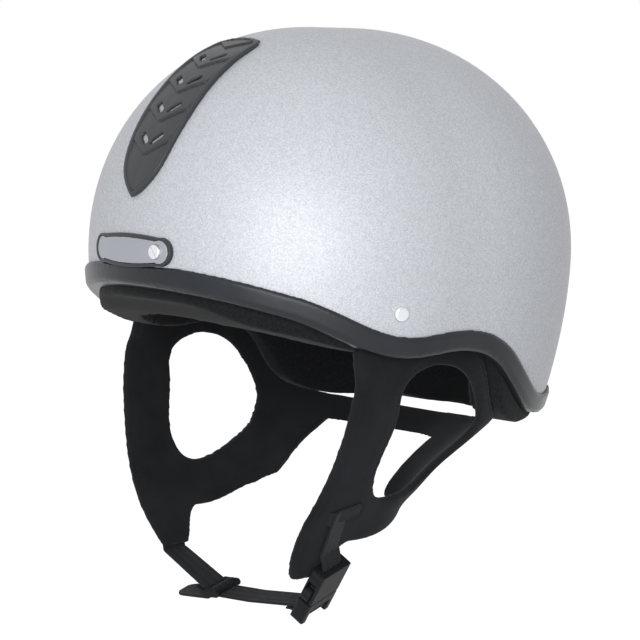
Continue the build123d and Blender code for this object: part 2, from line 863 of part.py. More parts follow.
def release_arm(side):
    """One sprung arm, on the front (-1) or the rear (1) of the buckle."""
    near = side * arm_inner
    far = side * (arm_inner + arm_width)
    foot = -mouth - arm_root
    head = -mouth + arm_length
    start = -mouth + arm_bulge_start
    end = -mouth + arm_bulge_end
    with BuildPart() as arm:
        with BuildSketch(buckle_plane.offset(-blade_wall / 2)):
            with BuildLine():
                Polyline((far, end), (far, head), (near, head), (near, foot), (far, foot),
                         (far, start))
                ThreePointArc((far, start), (far + side * arm_bulge, (start + end) / 2),
                              (far, end))
            make_face()
            with Locations((side * pin_across, -mouth - arm_pin_drop)):
                Circle(arm_pin_radius + arm_pin_gap, mode=Mode.SUBTRACT)
        extrude(amount=blade_wall)
    return arm.part


with BuildPart() as front_release_arm:
    add(release_arm(-1))
with BuildPart() as rear_release_arm:
    add(release_arm(1))

# Chin strap: looped round the bar of the tongue and threaded over the slider's middle bar
half_pitch = slider_pitch / 2
hump = slider_level + slider_rise
tail_level = slider_level - tail_drop
with BuildPart() as chin_strap:
    with BuildSketch(strap_plane.offset(-webbing_width / 2)):
        with BuildLine():
            FilletPolyline(
                (0, band_level),
                (slider_along + half_pitch, band_level),
                (slider_along + half_pitch, hump),
                (slider_along - half_pitch, hump),
                (slider_along - half_pitch, tail_level),
                (-chin_reach, tail_level),
                radius=strap_bend,
            )
        trace(line_width=chin_wall)
        Circle(loop_outer)
        Circle(loop_inner, mode=Mode.SUBTRACT)
    extrude(amount=webbing_width)
    tail = chin_strap.edges().filter_by(Axis((0, 0, 0), strap_plane.y_dir))
    fillet(tail.sort_by(Axis((0, 0, 0), strap_plane.x_dir))[:2], radius=tail_round)

# Slider: two side rails and three bars
slider_half = webbing_width / 2 + strap_side_gap
slider_near = slider_pitch + slider_bar_radius + slider_end
slider_far = slider_loop_pitch + slider_bar_radius + slider_end
with BuildPart() as strap_slider:
    for side in (1, -1):
        with BuildSketch(slider_plane.offset(side * slider_half)):
            with Locations(((slider_near - slider_far) / 2, 0)):
                SlotOverall(slider_near + slider_far, slider_wall)
        extrude(amount=side * slider_side)
    with BuildSketch(slider_plane.offset(-slider_half)):
        with Locations((slider_pitch, 0), (0, 0), (-slider_loop_pitch, 0)):
            Circle(slider_bar_radius)
    extrude(amount=slider_half * 2)

# Far webbing: down the outside of the right tab and looped round the slider's end bar
with BuildPart() as far_strip:
    add(webbing_skin)
    with BuildSketch(Plane.YZ):
        with Locations((far_web_foot[1], (far_web_top + far_web_foot[2]) / 2)):
            Rectangle(webbing_width, far_web_top - far_web_foot[2])
    extrude(amount=half_width, mode=Mode.INTERSECT)
    add(harness_skin, mode=Mode.SUBTRACT)
ring_inner = slider_bar_radius + slider_bar_gap
ring_outer = ring_inner + webbing_wall
ring_middle = (ring_inner + ring_outer) / 2
rise = radians(far_web_rise)
leave = Plane(
    origin=slider_plane.from_local_coords((
        -slider_loop_pitch + ring_middle * sin(rise),
        ring_middle * cos(rise),
        0,
    )),
    x_dir=slider_plane.z_dir,
    z_dir=slider_plane.y_dir * sin(rise) - slider_plane.x_dir * cos(rise),
)
slope = radians(far_web_slope)
arrive = Plane(origin=far_web_foot, x_dir=(0, -1, 0), z_dir=(-sin(slope), 0, cos(slope)))
turn = Plane(
    origin=far_web_turn,
    x_dir=(0, -1, 0),
    z_dir=(-cos(radians(far_web_turn_rise)), 0, sin(radians(far_web_turn_rise))),
)
with BuildPart() as right_webbing:
    for section in (leave, turn, arrive):
        with BuildSketch(section):
            Rectangle(webbing_width, webbing_wall)
    loft(ruled=True)
    with BuildSketch(slider_plane.offset(-webbing_width / 2)):
        with Locations((-slider_loop_pitch, 0)):
            Circle(ring_outer)
    extrude(amount=webbing_width)
    with BuildSketch(slider_plane.offset(-webbing_width / 2)):
        with Locations((-slider_loop_pitch, 0)):
            Circle(ring_inner)
    extrude(amount=webbing_width, mode=Mode.SUBTRACT)
    mirror(far_strip.part, about=Plane.YZ)

outer_shell.part.label = "outer_shell"
edge_trim.part.label = "edge_trim"
impact_liner.part.label = "impact_liner"
liner_cover.part.label = "liner_cover"
headband_pad.part.label = "headband_pad"
crown_pad.part.label = "crown_pad"
vent_cover.part.label = "vent_cover"
badge_surround.part.label = "badge_surround"
badge_plate.part.label = "badge_plate"
badge_stud.part.label = "badge_stud"
side_rivets.part.label = "side_rivets"
rivet_washers.part.label = "rivet_washers"
left_harness.part.label = "left_harness"
right_harness.part.label = "right_harness"
nape_strap.part.label = "nape_strap"
left_webbing.part.label = "left_webbing"
stitched_patch.part.label = "stitched_patch"
buckle_socket.part.label = "buckle_socket"
buckle_tongue.part.label = "buckle_tongue"
front_release_arm.part.label = "front_release_arm"
rear_release_arm.part.label = "rear_release_arm"
chin_strap.part.label = "chin_strap"
strap_slider.part.label = "strap_slider"
right_webbing.part.label = "right_webbing"
export_step(outer_shell.part, "parts/outer_shell.step")
export_step(edge_trim.part, "parts/edge_trim.step")
export_step(impact_liner.part, "parts/impact_liner.step")
export_step(liner_cover.part, "parts/liner_cover.step")
export_step(headband_pad.part, "parts/headband_pad.step")
export_step(crown_pad.part, "parts/crown_pad.step")
export_step(vent_cover.part, "parts/vent_cover.step")
export_step(badge_surround.part, "parts/badge_surround.step")
export_step(badge_plate.part, "parts/badge_plate.step")
export_step(badge_stud.part, "parts/badge_stud.step")
export_step(side_rivets.part, "parts/side_rivets.step")
export_step(rivet_washers.part, "parts/rivet_washers.step")
export_step(left_harness.part, "parts/left_harness.step")
export_step(right_harness.part, "parts/right_harness.step")
export_step(nape_strap.part, "parts/nape_strap.step")
export_step(left_webbing.part, "parts/left_webbing.step")
export_step(stitched_patch.part, "parts/stitched_patch.step")
export_step(buckle_socket.part, "parts/buckle_socket.step")
export_step(buckle_tongue.part, "parts/buckle_tongue.step")
export_step(front_release_arm.part, "parts/front_release_arm.step")
export_step(rear_release_arm.part, "parts/rear_release_arm.step")
export_step(chin_strap.part, "parts/chin_strap.step")
export_step(strap_slider.part, "parts/strap_slider.step")
export_step(right_webbing.part, "parts/right_webbing.step")
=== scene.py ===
"""The looks of a jockey skull cap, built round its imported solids.

Metres, +Z up, front toward -Y, the wearer's left toward +X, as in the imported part.
"""

import logging
import math
from collections.abc import Iterator
from dataclasses import dataclass, field
from enum import Enum

import bmesh
import bpy
from mathutils import Euler, Matrix, Vector, noise
from mathutils.bvhtree import BVHTree
from mathutils.kdtree import KDTree


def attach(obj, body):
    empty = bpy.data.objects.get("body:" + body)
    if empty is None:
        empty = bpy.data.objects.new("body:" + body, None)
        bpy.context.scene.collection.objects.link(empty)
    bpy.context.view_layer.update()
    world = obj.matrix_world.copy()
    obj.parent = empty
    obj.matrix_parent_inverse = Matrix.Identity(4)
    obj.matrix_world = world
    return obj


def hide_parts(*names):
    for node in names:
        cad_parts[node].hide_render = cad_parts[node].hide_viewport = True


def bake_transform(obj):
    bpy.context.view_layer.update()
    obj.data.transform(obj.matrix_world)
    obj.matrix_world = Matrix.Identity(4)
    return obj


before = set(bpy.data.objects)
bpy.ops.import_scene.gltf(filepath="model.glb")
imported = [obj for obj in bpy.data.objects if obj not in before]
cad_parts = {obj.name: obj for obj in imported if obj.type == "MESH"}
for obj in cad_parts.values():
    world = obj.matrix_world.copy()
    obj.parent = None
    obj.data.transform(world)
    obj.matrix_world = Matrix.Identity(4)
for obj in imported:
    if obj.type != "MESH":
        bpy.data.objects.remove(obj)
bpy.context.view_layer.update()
LOG = logging.getLogger("skull_cap")

MM = 0.001
ROOT = "helmet"
BATCH = 30
WELD = 0.01 * MM
TINY = 1e-9


class Coordinates(Enum):
    """Where a finish reads its place from."""

    OBJECT = "Object"
    WEAVE = "UV"


Colour = tuple[float, float, float]
Output = tuple[bpy.types.Node, str | int]
Spot = tuple[Vector, Vector, Vector]


class Wiring:
    """The nodes of a material or of the world, with short calls to add and join them."""

    def __init__(self, tree: bpy.types.NodeTree) -> None:
        """Start with an empty tree."""
        self.tree = tree
        self.tree.nodes.clear()

    def add(self, kind: str, **values: object) -> bpy.types.Node:
        """Add a node and set its properties.

        Args:
            kind: The node's type.
            **values: Properties of the node.

        Returns:
            The new node.
        """
        node = self.tree.nodes.new(kind)
        for key, value in values.items():
            setattr(node, key, value)
        return node

    def join(self, source: bpy.types.Node, out: str | int, target: bpy.types.Node, into: str | int) -> None:
        """Join an output to an input."""
        self.tree.links.new(source.outputs[out], target.inputs[into])

    def put(self, node: bpy.types.Node, **values: object) -> None:
        """Set sockets of a node, with underscores for spaces in their names."""
        for key, value in values.items():
            node.inputs[key.replace("_", " ")].default_value = value


class NodeSheet(Wiring):
    """The nodes of one material, built round one shader."""

    def __init__(self, name: str) -> None:
        """Start a material with one shader.

        Args:
            name: The material's name.
        """
        self.material = bpy.data.materials.new(name)
        self.material.use_nodes = True
        super().__init__(self.material.node_tree)
        self.shader = self.add("ShaderNodeBsdfPrincipled")
        output = self.add("ShaderNodeOutputMaterial")
        self.join(self.shader, "BSDF", output, "Surface")

    def set(self, **values: object) -> None:
        """Set sockets of the shader."""
        self.put(self.shader, **values)

    def place(self, coordinates: Coordinates) -> Output:
        """Return the output that gives the place of a point."""
        return self.add("ShaderNodeTexCoord"), coordinates.value

    def noise(self, where: Output, size: float, detail: float = 4.0) -> bpy.types.Node:
        """Add a noise whose lumps are about as wide as size.

        Args:
            where: The output that gives the place.
            size: Width of a lump in metres.
            detail: Octaves of finer noise.

        Returns:
            The noise node.
        """
        lumps = self.add("ShaderNodeTexNoise")
        self.put(lumps, Scale=1 / size, Detail=detail)
        self.join(*where, lumps, "Vector")
        return lumps

    def cells(self, where: Output, size: float) -> bpy.types.Node:
        """Add a field of cells about as wide as size."""
        cells = self.add("ShaderNodeTexVoronoi")
        self.put(cells, Scale=1 / size)
        self.join(*where, cells, "Vector")
        return cells

    def tint(self, source: Output, low: Colour, high: Colour, span: tuple[float, float] = (0.3, 0.7)) -> None:
        """Let a grey value run the surface's colour between two colours.

        Args:
            source: The output that gives the value.
            low: Colour at and below the span.
            high: Colour at and above it.
            span: Values where the run starts and ends.
        """
        ramp = self.add("ShaderNodeValToRGB")
        for stop, place, colour in zip(ramp.color_ramp.elements, span, (low, high)):
            stop.position = place
            stop.color = (*colour, 1)
        self.join(*source, ramp, "Fac")
        self.join(ramp, "Color", self.shader, "Base Color")

    def gloss(self, source: Output, low: float, high: float) -> None:
        """Let a grey value run the surface's roughness between two levels."""
        level = self.add("ShaderNodeMapRange")
        self.put(level, To_Min=low, To_Max=high)
        self.join(*source, level, "Value")
        self.join(level, "Result", self.shader, "Roughness")

    def relief(self, *layers: tuple[Output, float, float]) -> None:
        """Raise the surface by some values, the coarsest first.

        Args:
            *layers: The output that gives the height, a full step in metres and the share of its effect.
        """
        below = None
        for source, depth, strength in layers:
            bump = self.add("ShaderNodeBump")
            self.put(bump, Distance=depth, Strength=strength)
            self.join(*source, bump, "Height")
            if below is not None:
                self.join(below, "Normal", bump, "Normal")
            below = bump
        self.join(below, "Normal", self.shader, "Normal")

    def maths(self, operation: str, first: Output, second: float | Output) -> Output:
        """Return a sum on one or two values."""
        node = self.add("ShaderNodeMath", operation=operation)
        self.join(*first, node, 0)
        if isinstance(second, tuple):
            self.join(*second, node, 1)
        else:
            node.inputs[1].default_value = second
        return node, 0


def shade(colour: Colour, share: float) -> Colour:
    """Return the colour made darker or lighter by a share."""
    return tuple(min(channel * share, 1.0) for channel in colour)


def spread(colour: Colour, contrast: float) -> tuple[Colour, Colour]:
    """Return the colour made darker and lighter by the same share."""
    return shade(colour, 1 - contrast), shade(colour, 1 + contrast)


@dataclass(frozen=True)
class Finish:
    """What every finish has."""

    name: str
    colour: Colour
    roughness: float

    def material(self) -> bpy.types.Material:
        """Return the finish as a material."""
        sheet = NodeSheet(self.name)
        sheet.set(Base_Color=(*self.colour, 1), Roughness=self.roughness)
        self.dress(sheet)
        return sheet.material

    def dress(self, sheet: NodeSheet) -> None:
        """Add what is special to this finish."""


@dataclass(frozen=True)
class GlitterPaint(Finish):
    """Silver-grey paint with fine flakes over a pebbled moulded skin."""

    metallic: float = 0.2
    flake: float = 0.5 * MM
    flake_contrast: float = 0.14
    flake_span: tuple[float, float] = (0.1, 0.9)
    peel: float = 1.5 * MM
    peel_depth: float = 0.05 * MM
    flake_depth: float = 0.25
    peel_strength: float = 0.6
    flake_strength: float = 0.4
    coat: float = 0.1
    coat_roughness: float = 0.22
    smoother: float = 0.08
    rougher: float = 0.1

    def dress(self, sheet: NodeSheet) -> None:
        """Scatter flakes and pebble the skin."""
        where = sheet.place(Coordinates.OBJECT)
        sheet.set(Metallic=self.metallic, Coat_Weight=self.coat, Coat_Roughness=self.coat_roughness)
        flakes = sheet.cells(where, self.flake)
        tone = sheet.add("ShaderNodeSeparateColor")
        sheet.join(flakes, "Color", tone, "Color")
        sheet.tint((tone, "Red"), *spread(self.colour, self.flake_contrast), self.flake_span)
        sheet.gloss((tone, "Green"), self.roughness - self.smoother, self.roughness + self.rougher)
        peel = sheet.noise(where, self.peel, 3.0)
        sheet.relief(
            ((peel, "Fac"), self.peel_depth, self.peel_strength),
            ((flakes, "Distance"), self.peel_depth * self.flake_depth, self.flake_strength),
        )


@dataclass(frozen=True)
class Moulding(Finish):
    """Moulded plastic or rubber with a fine grain and slightly uneven colour."""

    grain: float = 0.4 * MM
    grain_depth: float = 0.03 * MM
    grain_strength: float = 0.7
    mottle: float = 0.12
    mottle_size: float = 14 * MM
    specular: float = 0.3
    smoother: float = 0.06
    rougher: float = 0.08

    def dress(self, sheet: NodeSheet) -> None:
        """Grain the skin and vary its colour."""
        where = sheet.place(Coordinates.OBJECT)
        sheet.set(Specular_IOR_Level=self.specular)
        patches = sheet.noise(where, self.mottle_size, 5.0)
        sheet.tint((patches, "Fac"), *spread(self.colour, self.mottle))
        grain = sheet.noise(where, self.grain, 3.0)
        sheet.relief(((grain, "Fac"), self.grain_depth, self.grain_strength))
        sheet.gloss((patches, "Fac"), self.roughness - self.smoother, self.roughness + self.rougher)


@dataclass(frozen=True)
class NappedCloth(Finish):
    """Suede-like microfibre with a short nap that lies in soft patches, and painted shade where the fibres lie low."""

    fibre: float = 0.35 * MM
    fibre_depth: float = 0.1 * MM
    fibre_strength: float = 0.8
    # Share of the fibre height in the colour: painted shade between the fibres.
    painted_fibre_shade: float = 0.5
    patch: float = 22 * MM
    contrast: float = 0.3
    contrast_span: tuple[float, float] = (0.45, 1.05)
    sheen: float = 0.18
    sheen_roughness: float = 0.5
    sheen_tint: Colour = (0.5, 0.52, 0.56)
    specular: float = 0.08

    def dress(self, sheet: NodeSheet) -> None:
        """Raise the nap, lay it in patches, and paint shade where the fibres lie low."""
        where = sheet.place(Coordinates.OBJECT)
        sheet.set(Sheen_Weight=self.sheen, Sheen_Roughness=self.sheen_roughness)
        sheet.set(Sheen_Tint=(*self.sheen_tint, 1), Specular_IOR_Level=self.specular)
        patches = sheet.noise(where, self.patch)
        fibres = sheet.noise(where, self.fibre, 6.0)
        # The colour mixes random patches of tone with the fibre height: darker where the fibres lie low is painted
        # shade.
        mixed = sheet.maths("MULTIPLY_ADD", (fibres, "Fac"), self.painted_fibre_shade)
        sheet.join(patches, "Fac", mixed[0], 2)
        sheet.tint(mixed, *spread(self.colour, self.contrast), self.contrast_span)
        sheet.relief(((fibres, "Fac"), self.fibre_depth, self.fibre_strength))


@dataclass(frozen=True)
class KnittedCloth(Finish):
    """Thin knitted lining with small open cells, with painted shade in the sunk cells and a painted highlight on the
    threads between them.
    """

    cell: float = 1.1 * MM
    depth: float = 0.25 * MM
    fuzz_size: float = 0.4
    fuzz_depth: float = 0.3
    sheen: float = 0.08
    sheen_roughness: float = 0.5
    specular: float = 0.1
    cell_span: tuple[float, float] = (0.1, 0.6)
    # Shares of the colour: painted shade in the sunk cells and painted highlight on the raised threads.
    painted_hollow_shade: float = 0.6
    painted_crest_highlight: float = 1.3
    cell_strength: float = 0.7
    fuzz_strength: float = 0.5

    def dress(self, sheet: NodeSheet) -> None:
        """Sink the cells of the knit, and paint shade into them and a highlight on the threads between."""
        where = sheet.place(Coordinates.OBJECT)
        sheet.set(Sheen_Weight=self.sheen, Sheen_Roughness=self.sheen_roughness, Specular_IOR_Level=self.specular)
        cells = sheet.cells(where, self.cell)
        # The colour follows the same cell distance as the relief: painted shade where it is sunk, painted highlight
        # where it is raised.
        low, high = shade(self.colour, self.painted_hollow_shade), shade(self.colour, self.painted_crest_highlight)
        sheet.tint((cells, "Distance"), low, high, self.cell_span)
        fuzz = sheet.noise(where, self.cell * self.fuzz_size)
        sheet.relief(
            ((cells, "Distance"), self.depth, self.cell_strength),
            ((fuzz, "Fac"), self.depth * self.fuzz_depth, self.fuzz_strength),
        )


@dataclass(frozen=True)
class Webbing(Finish):
    """Woven webbing: herringbone ribs that follow the strap, with painted shade in their grooves and a painted
    highlight on their crests, and a firm selvedge.
    """

    rib: float = 1.15 * MM
    column: float = 2.5 * MM
    depth: float = 0.16 * MM
    fuzz_size: float = 0.35
    fuzz_depth: float = 0.3
    sheen: float = 0.08
    sheen_roughness: float = 0.4
    specular: float = 0.12
    rib_span: tuple[float, float] = (0.1, 0.9)
    # Shares of the colour: painted shade in the rib grooves and painted highlight on the rib crests.
    painted_hollow_shade: float = 0.55
    painted_crest_highlight: float = 1.35
    rib_strength: float = 0.8
    fuzz_strength: float = 0.5

    def dress(self, sheet: NodeSheet) -> None:
        """Lay the ribs across the strap in a herringbone, painted darker in the grooves and lighter on the crests."""
        where = sheet.place(Coordinates.WEAVE)
        sheet.set(Sheen_Weight=self.sheen, Sheen_Roughness=self.sheen_roughness, Specular_IOR_Level=self.specular)
        split = sheet.add("ShaderNodeSeparateXYZ")
        sheet.join(*where, split, "Vector")
        across = sheet.maths("MULTIPLY", (split, "X"), 1 / self.column)
        zigzag = sheet.maths("PINGPONG", across, 1.0)
        along = sheet.maths("MULTIPLY", (split, "Y"), 1 / self.rib)
        lean = sheet.maths("ADD", along, zigzag)
        turn = sheet.maths("MULTIPLY", lean, 2 * math.pi)
        wave = sheet.maths("SINE", turn, 0.0)
        lift = sheet.maths("MULTIPLY_ADD", wave, 0.5)
        lift[0].inputs[2].default_value = 0.5
        # The colour follows the same wave as the relief: painted shade in the grooves, painted highlight on the crests.
        sheet.tint(lift, shade(self.colour, self.painted_hollow_shade), shade(self.colour, self.painted_crest_highlight), self.rib_span)
        fuzz = sheet.noise(where, self.rib * self.fuzz_size)
        sheet.relief(
            (lift, self.depth, self.rib_strength),
            ((fuzz, "Fac"), self.depth * self.fuzz_depth, self.fuzz_strength),
        )


@dataclass(frozen=True)
class PolishedMetal(Finish):
    """Bare metal with fine rubbed lines."""

    scratch: float = 0.6 * MM
    scratch_depth: float = 0.01 * MM
    scratch_strength: float = 0.4
    variation: float = 0.08

    def dress(self, sheet: NodeSheet) -> None:
        """Rub fine lines into the gloss."""
        where = sheet.place(Coordinates.OBJECT)
        sheet.set(Metallic=1.0)
        lines = sheet.noise(where, self.scratch, 6.0)
        sheet.gloss((lines, "Fac"), self.roughness - self.variation, self.roughness + self.variation)
        sheet.relief(((lines, "Fac"), self.scratch_depth, self.scratch_strength))


@dataclass(frozen=True)
class Palette:
    """Every finish on the cap, made once."""

    shell: Finish = GlitterPaint("shell_paint", (0.57, 0.59, 0.63), 0.55)
    trim: Finish = Moulding("trim_rubber", (0.016, 0.019, 0.024), 0.32, specular=0.3)
    vent: Finish = Moulding("vent_moulding", (0.038, 0.041, 0.046), 0.42, specular=0.35)
    badge_rim: Finish = Moulding("badge_rim_moulding", (0.036, 0.039, 0.044), 0.42, specular=0.35)
    badge: Finish = PolishedMetal("badge_satin", (0.40, 0.415, 0.45), 0.5)
    stud: Finish = PolishedMetal("stud_polish", (0.80, 0.81, 0.83), 0.16)
    rivet: Finish = PolishedMetal("rivet_polish", (0.74, 0.75, 0.78), 0.2)
    suede: Finish = NappedCloth("harness_suede", (0.0155, 0.016, 0.0185), 0.9)
    lining: Finish = KnittedCloth("lining_knit", (0.012, 0.0125, 0.014), 0.95)
    webbing: Finish = Webbing("strap_weave", (0.020, 0.021, 0.025), 0.7)
    patch: Finish = Moulding(
        "patch_binding", (0.020, 0.021, 0.025), 0.7, grain=0.5 * MM, grain_depth=0.08 * MM, specular=0.15
    )
    thread: Finish = Moulding("sewing_thread", (0.019, 0.020, 0.024), 0.7, grain=0.25 * MM, specular=0.12)
    buckle: Finish = Moulding("buckle_moulding", (0.012, 0.0125, 0.0145), 0.5, specular=0.1)


class Dresser:
    """Makes each finish once and puts it on pieces."""

    def __init__(self) -> None:
        """Start with no material made."""
        self.made: dict[str, bpy.types.Material] = {}

    def put(self, piece: bpy.types.Object, finish: Finish) -> None:
        """Put a finish on a piece."""
        if finish.name not in self.made:
            self.made[finish.name] = finish.material()
        piece.data.materials.clear()
        piece.data.materials.append(self.made[finish.name])


def mesh_of(name: str, shape: bmesh.types.BMesh) -> bpy.types.Mesh:
    """Return a new mesh for a shape, which is freed."""
    mesh = bpy.data.meshes.new(name)
    shape.to_mesh(mesh)
    shape.free()
    return mesh


def placed(name: str, data: bpy.types.ID) -> bpy.types.Object:
    """Return a new object for some data, linked to the scene."""
    item = bpy.data.objects.new(name, data)
    bpy.context.scene.collection.objects.link(item)
    return item


def shown(name: str, shape: bmesh.types.BMesh) -> bpy.types.Object:
    """Return a new object for a shape, which is freed."""
    return placed(name, mesh_of(name, shape))


def shade_smooth(mesh: bpy.types.Mesh) -> None:
    """Shade every face of a mesh smooth."""
    for polygon in mesh.polygons:
        polygon.use_smooth = True


def turned(heading: Vector) -> Euler:
    """Return the turn that points a camera or a lamp along a heading."""
    return heading.to_track_quat("-Z", "Y").to_euler()


def settled(piece: bpy.types.Object) -> bpy.types.Object:
    """Apply the modifiers of a piece to its mesh."""
    graph = bpy.context.evaluated_depsgraph_get()
    mesh = bpy.data.meshes.new_from_object(piece.evaluated_get(graph))
    piece.modifiers.clear()
    old = piece.data
    piece.data = mesh
    mesh.name = piece.name
    bpy.data.meshes.remove(old)
    shade_smooth(mesh)
    return piece


def merged(*nodes: str) -> bmesh.types.BMesh:
    """Return one welded copy of the meshes of some nodes."""
    shape = bmesh.new()
    for node in nodes:
        shape.from_mesh(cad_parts[node].data)
    bmesh.ops.remove_doubles(shape, verts=shape.verts, dist=WELD)
    return shape


def softened(
    name: str, nodes: tuple[str, ...], voxel: float, rounds: int, cutter: bpy.types.Object | None = None
) -> bpy.types.Object:
    """Return a copy of some nodes with its hard edges rounded.

    Args:
        name: The new piece's name.
        nodes: The nodes that it copies.
        voxel: Size of the new mesh's cells in metres.
        rounds: How many times it is smoothed.
        cutter: A solid that is cut away before the smoothing.

    Returns:
        The new piece.
    """
    piece = shown(name, merged(*nodes))
    remesh = piece.modifiers.new("cells", "REMESH")
    remesh.mode = "VOXEL"
    remesh.voxel_size = voxel
    remesh.adaptivity = 0.0
    if cutter is not None:
        cut = piece.modifiers.new("cut", "BOOLEAN")
        cut.operation = "DIFFERENCE"
        cut.solver = "EXACT"
        cut.object = cutter
    if rounds:
        smooth = piece.modifiers.new("rounding", "SMOOTH")
        smooth.factor = 0.5
        smooth.iterations = rounds
    return settled(piece)


@dataclass
class Padding:
    """A padded sheet of the harness: two skins over foam, sewn together near its edges."""

    name: str
    nodes: tuple[str, ...]
    wall: float = 4.6 * MM
    voxel: float = 1.1 * MM
    rounds: int = 8
    last_rounds: int = 5
    edge_draw: float = 0.1 * MM
    swell: float = 0.5 * MM
    margin: float = 7 * MM
    wave: float = 0.5 * MM
    wave_size: float = 24 * MM
    skin_gap: float = 0.02 * MM
    least_wall: float = 0.35
    most_wall: float = 2.2
    least_fold: float = 0.5
    joint_side: float = 34 * MM
    joint_gap: float = 0.1 * MM
    seam_inset: float = 3.4 * MM
    seam_depth: float = 0.6 * MM
    seam_width: float = 0.9 * MM
    seam_step: float = 0.75 * MM
    seam_catch: float = 1.2 * MM
    seam_share: float = 0.7
    stitch_every: int = 4
    stitch_length: float = 2.0 * MM
    stitch_radius: float = 0.24 * MM
    stitch_catch: float = 2 * MM
    even_steps: int = 8
    web_width: float = 92 * MM
    web_length: float = 400 * MM
    web_top: float = -101 * MM
    web_height: float = 100 * MM
    seams: list[list[Spot]] = field(default_factory=list)
    borders: list[Vector] = field(default_factory=list)

    def build(self) -> bpy.types.Object:
        """Return the padded sheet, with its edges rounded and its seam sunk."""
        self.seams = self.find_seams()
        cutter = self.web_room()
        piece = softened(self.name, self.nodes, self.voxel, self.rounds, cutter=cutter)
        bpy.data.meshes.remove(cutter.data)
        self.draw_in(piece)
        return piece

    def web_room(self) -> bpy.types.Object:
        """Return the block below the nape that holds only a thin web of the solid."""
        middle = Matrix.Translation((0, 0, self.web_top - self.web_height / 2))
        size = Matrix.Diagonal((self.web_width, self.web_length, self.web_height, 1))
        shape = bmesh.new()
        bmesh.ops.create_cube(shape, size=1.0, matrix=middle @ size)
        return shown("web_room", shape)

    def find_seams(self) -> list[list[Spot]]:
        """Return the seam lines, each a list of place, run and outward normal."""
        shape = merged(*self.nodes)
        shape.normal_update()
        shape.verts.index_update()
        tree = BVHTree.FromBMesh(shape)
        broad = [face for face in shape.faces if self.is_broad(tree, face)]
        corners = [[vertex.index for vertex in face.verts] for face in broad]
        skins = BVHTree.FromPolygons([vertex.co for vertex in shape.verts], corners)
        lying = set(broad)
        borders = [edge for edge in shape.edges if self.is_border(edge, lying)]
        places: list[Vector] = []
        inward: list[Vector] = []
        for edge in borders:
            face = next(face for face in edge.link_faces if face in lying)
            first, second = (vertex.co for vertex in edge.verts)
            lean = face.normal.cross((second - first).normalized())
            if lean.dot(face.calc_center_median() - first) < 0:
                lean = -lean
            for place in even([first, second], self.voxel):
                places.append(place.copy())
                inward.append(lean)
        self.borders = places
        found = nearest(places)
        lines = []
        for chain in chained(borders):
            points = even([vertex.co.copy() for vertex in chain], self.seam_step)
            if len(points) > self.even_steps * 2:
                leans = [inward[found.find(point)[1]] for point in points]
                lines.append(self.moved_in(points, leans, skins))
        shape.free()
        return lines

    def is_border(self, edge: bmesh.types.BMEdge, broad: set[bmesh.types.BMFace]) -> bool:
        """Tell whether an edge parts a broad skin from a rim, away from the joints of the sides."""
        sides = [face in broad for face in edge.link_faces]
        if len(sides) != 2 or sides[0] == sides[1] or edge.calc_face_angle(0.0) < self.least_fold:
            return False
        return any(abs(abs(vertex.co.x) - self.joint_side) > self.joint_gap for vertex in edge.verts)

    def is_broad(self, tree: BVHTree, face: bmesh.types.BMFace) -> bool:
        """Tell whether a face lies on one of the two broad skins."""
        start = face.calc_center_median() - face.normal * self.skin_gap
        hit = tree.ray_cast(start, -face.normal, self.wall * self.most_wall)
        return hit[0] is not None and hit[3] > self.wall * self.least_wall

    def moved_in(self, points: list[Vector], inward: list[Vector], skins: BVHTree) -> list[Spot]:
        """Return the border moved in by the seam's inset, laid on the broad skins."""
        reach = self.even_steps
        moved = []
        for place, point in enumerate(points):
            lean = sum(inward[max(place - reach, 0) : place + reach + 1], Vector()).normalized()
            moved.append(point + lean * self.seam_inset)
        line = []
        last = len(points) - 1
        for place in range(len(points)):
            near_by = moved[max(place - reach, 0) : place + reach + 1]
            middle = sum(near_by, Vector()) / len(near_by)
            run = (moved[min(place + 2, last)] - moved[max(place - 2, 0)]).normalized()
            near, normal, _, gap = skins.find_nearest(middle)
            if near is None or gap >= self.seam_catch:
                continue
            if (near - points[place]).length > self.seam_inset * self.seam_share:
                line.append((near, run, normal))
        return line

    def draw_in(self, piece: bpy.types.Object) -> None:
        """Thin the edges, swell the middle, sink the seam and let the sheet wave a little.

        Args:
            piece: The rounded copy.
        """
        rims = nearest(self.borders)
        seams = nearest([spot[0] for line in self.seams for spot in line])
        shape = bmesh.new()
        shape.from_mesh(piece.data)
        moves = []
        for vertex in shape.verts:
            share = min(rims.find(vertex.co)[2] / self.margin, 1.0)
            soft = share * share * (3 - 2 * share)
            push = self.swell * soft - self.edge_draw * (1 - soft)
            gap = seams.find(vertex.co)[2]
            push -= self.seam_depth * math.exp(-((gap / self.seam_width) ** 2))
            drift = noise.noise_vector(vertex.co / self.wave_size) * self.wave
            moves.append(vertex.normal * push + drift)
        for vertex, move in zip(shape.verts, moves):
            vertex.co += move
        for _ in range(self.last_rounds):
            bmesh.ops.smooth_vert(
                shape, verts=shape.verts, factor=0.5, use_axis_x=True, use_axis_y=True, use_axis_z=True
            )
        shape.to_mesh(piece.data)
        shape.free()
        shade_smooth(piece.data)

    def stitches(self, piece: bpy.types.Object) -> bpy.types.Object | None:
        """Return the sewing along the seams.

        Args:
            piece: The padded sheet that they lie on.

        Returns:
            One piece with every stitch.
        """
        tree = BVHTree.FromObject(piece, bpy.context.evaluated_depsgraph_get())
        spots = []
        for line in self.seams:
            for place, run, normal in line[:: self.stitch_every]:
                near, away, _, gap = tree.find_nearest(place)
                if near is not None and gap < self.stitch_catch:
                    spots.append((near, run, away))
        return sewn(f"{self.name}_stitching", spots, self.stitch_length, self.stitch_radius)


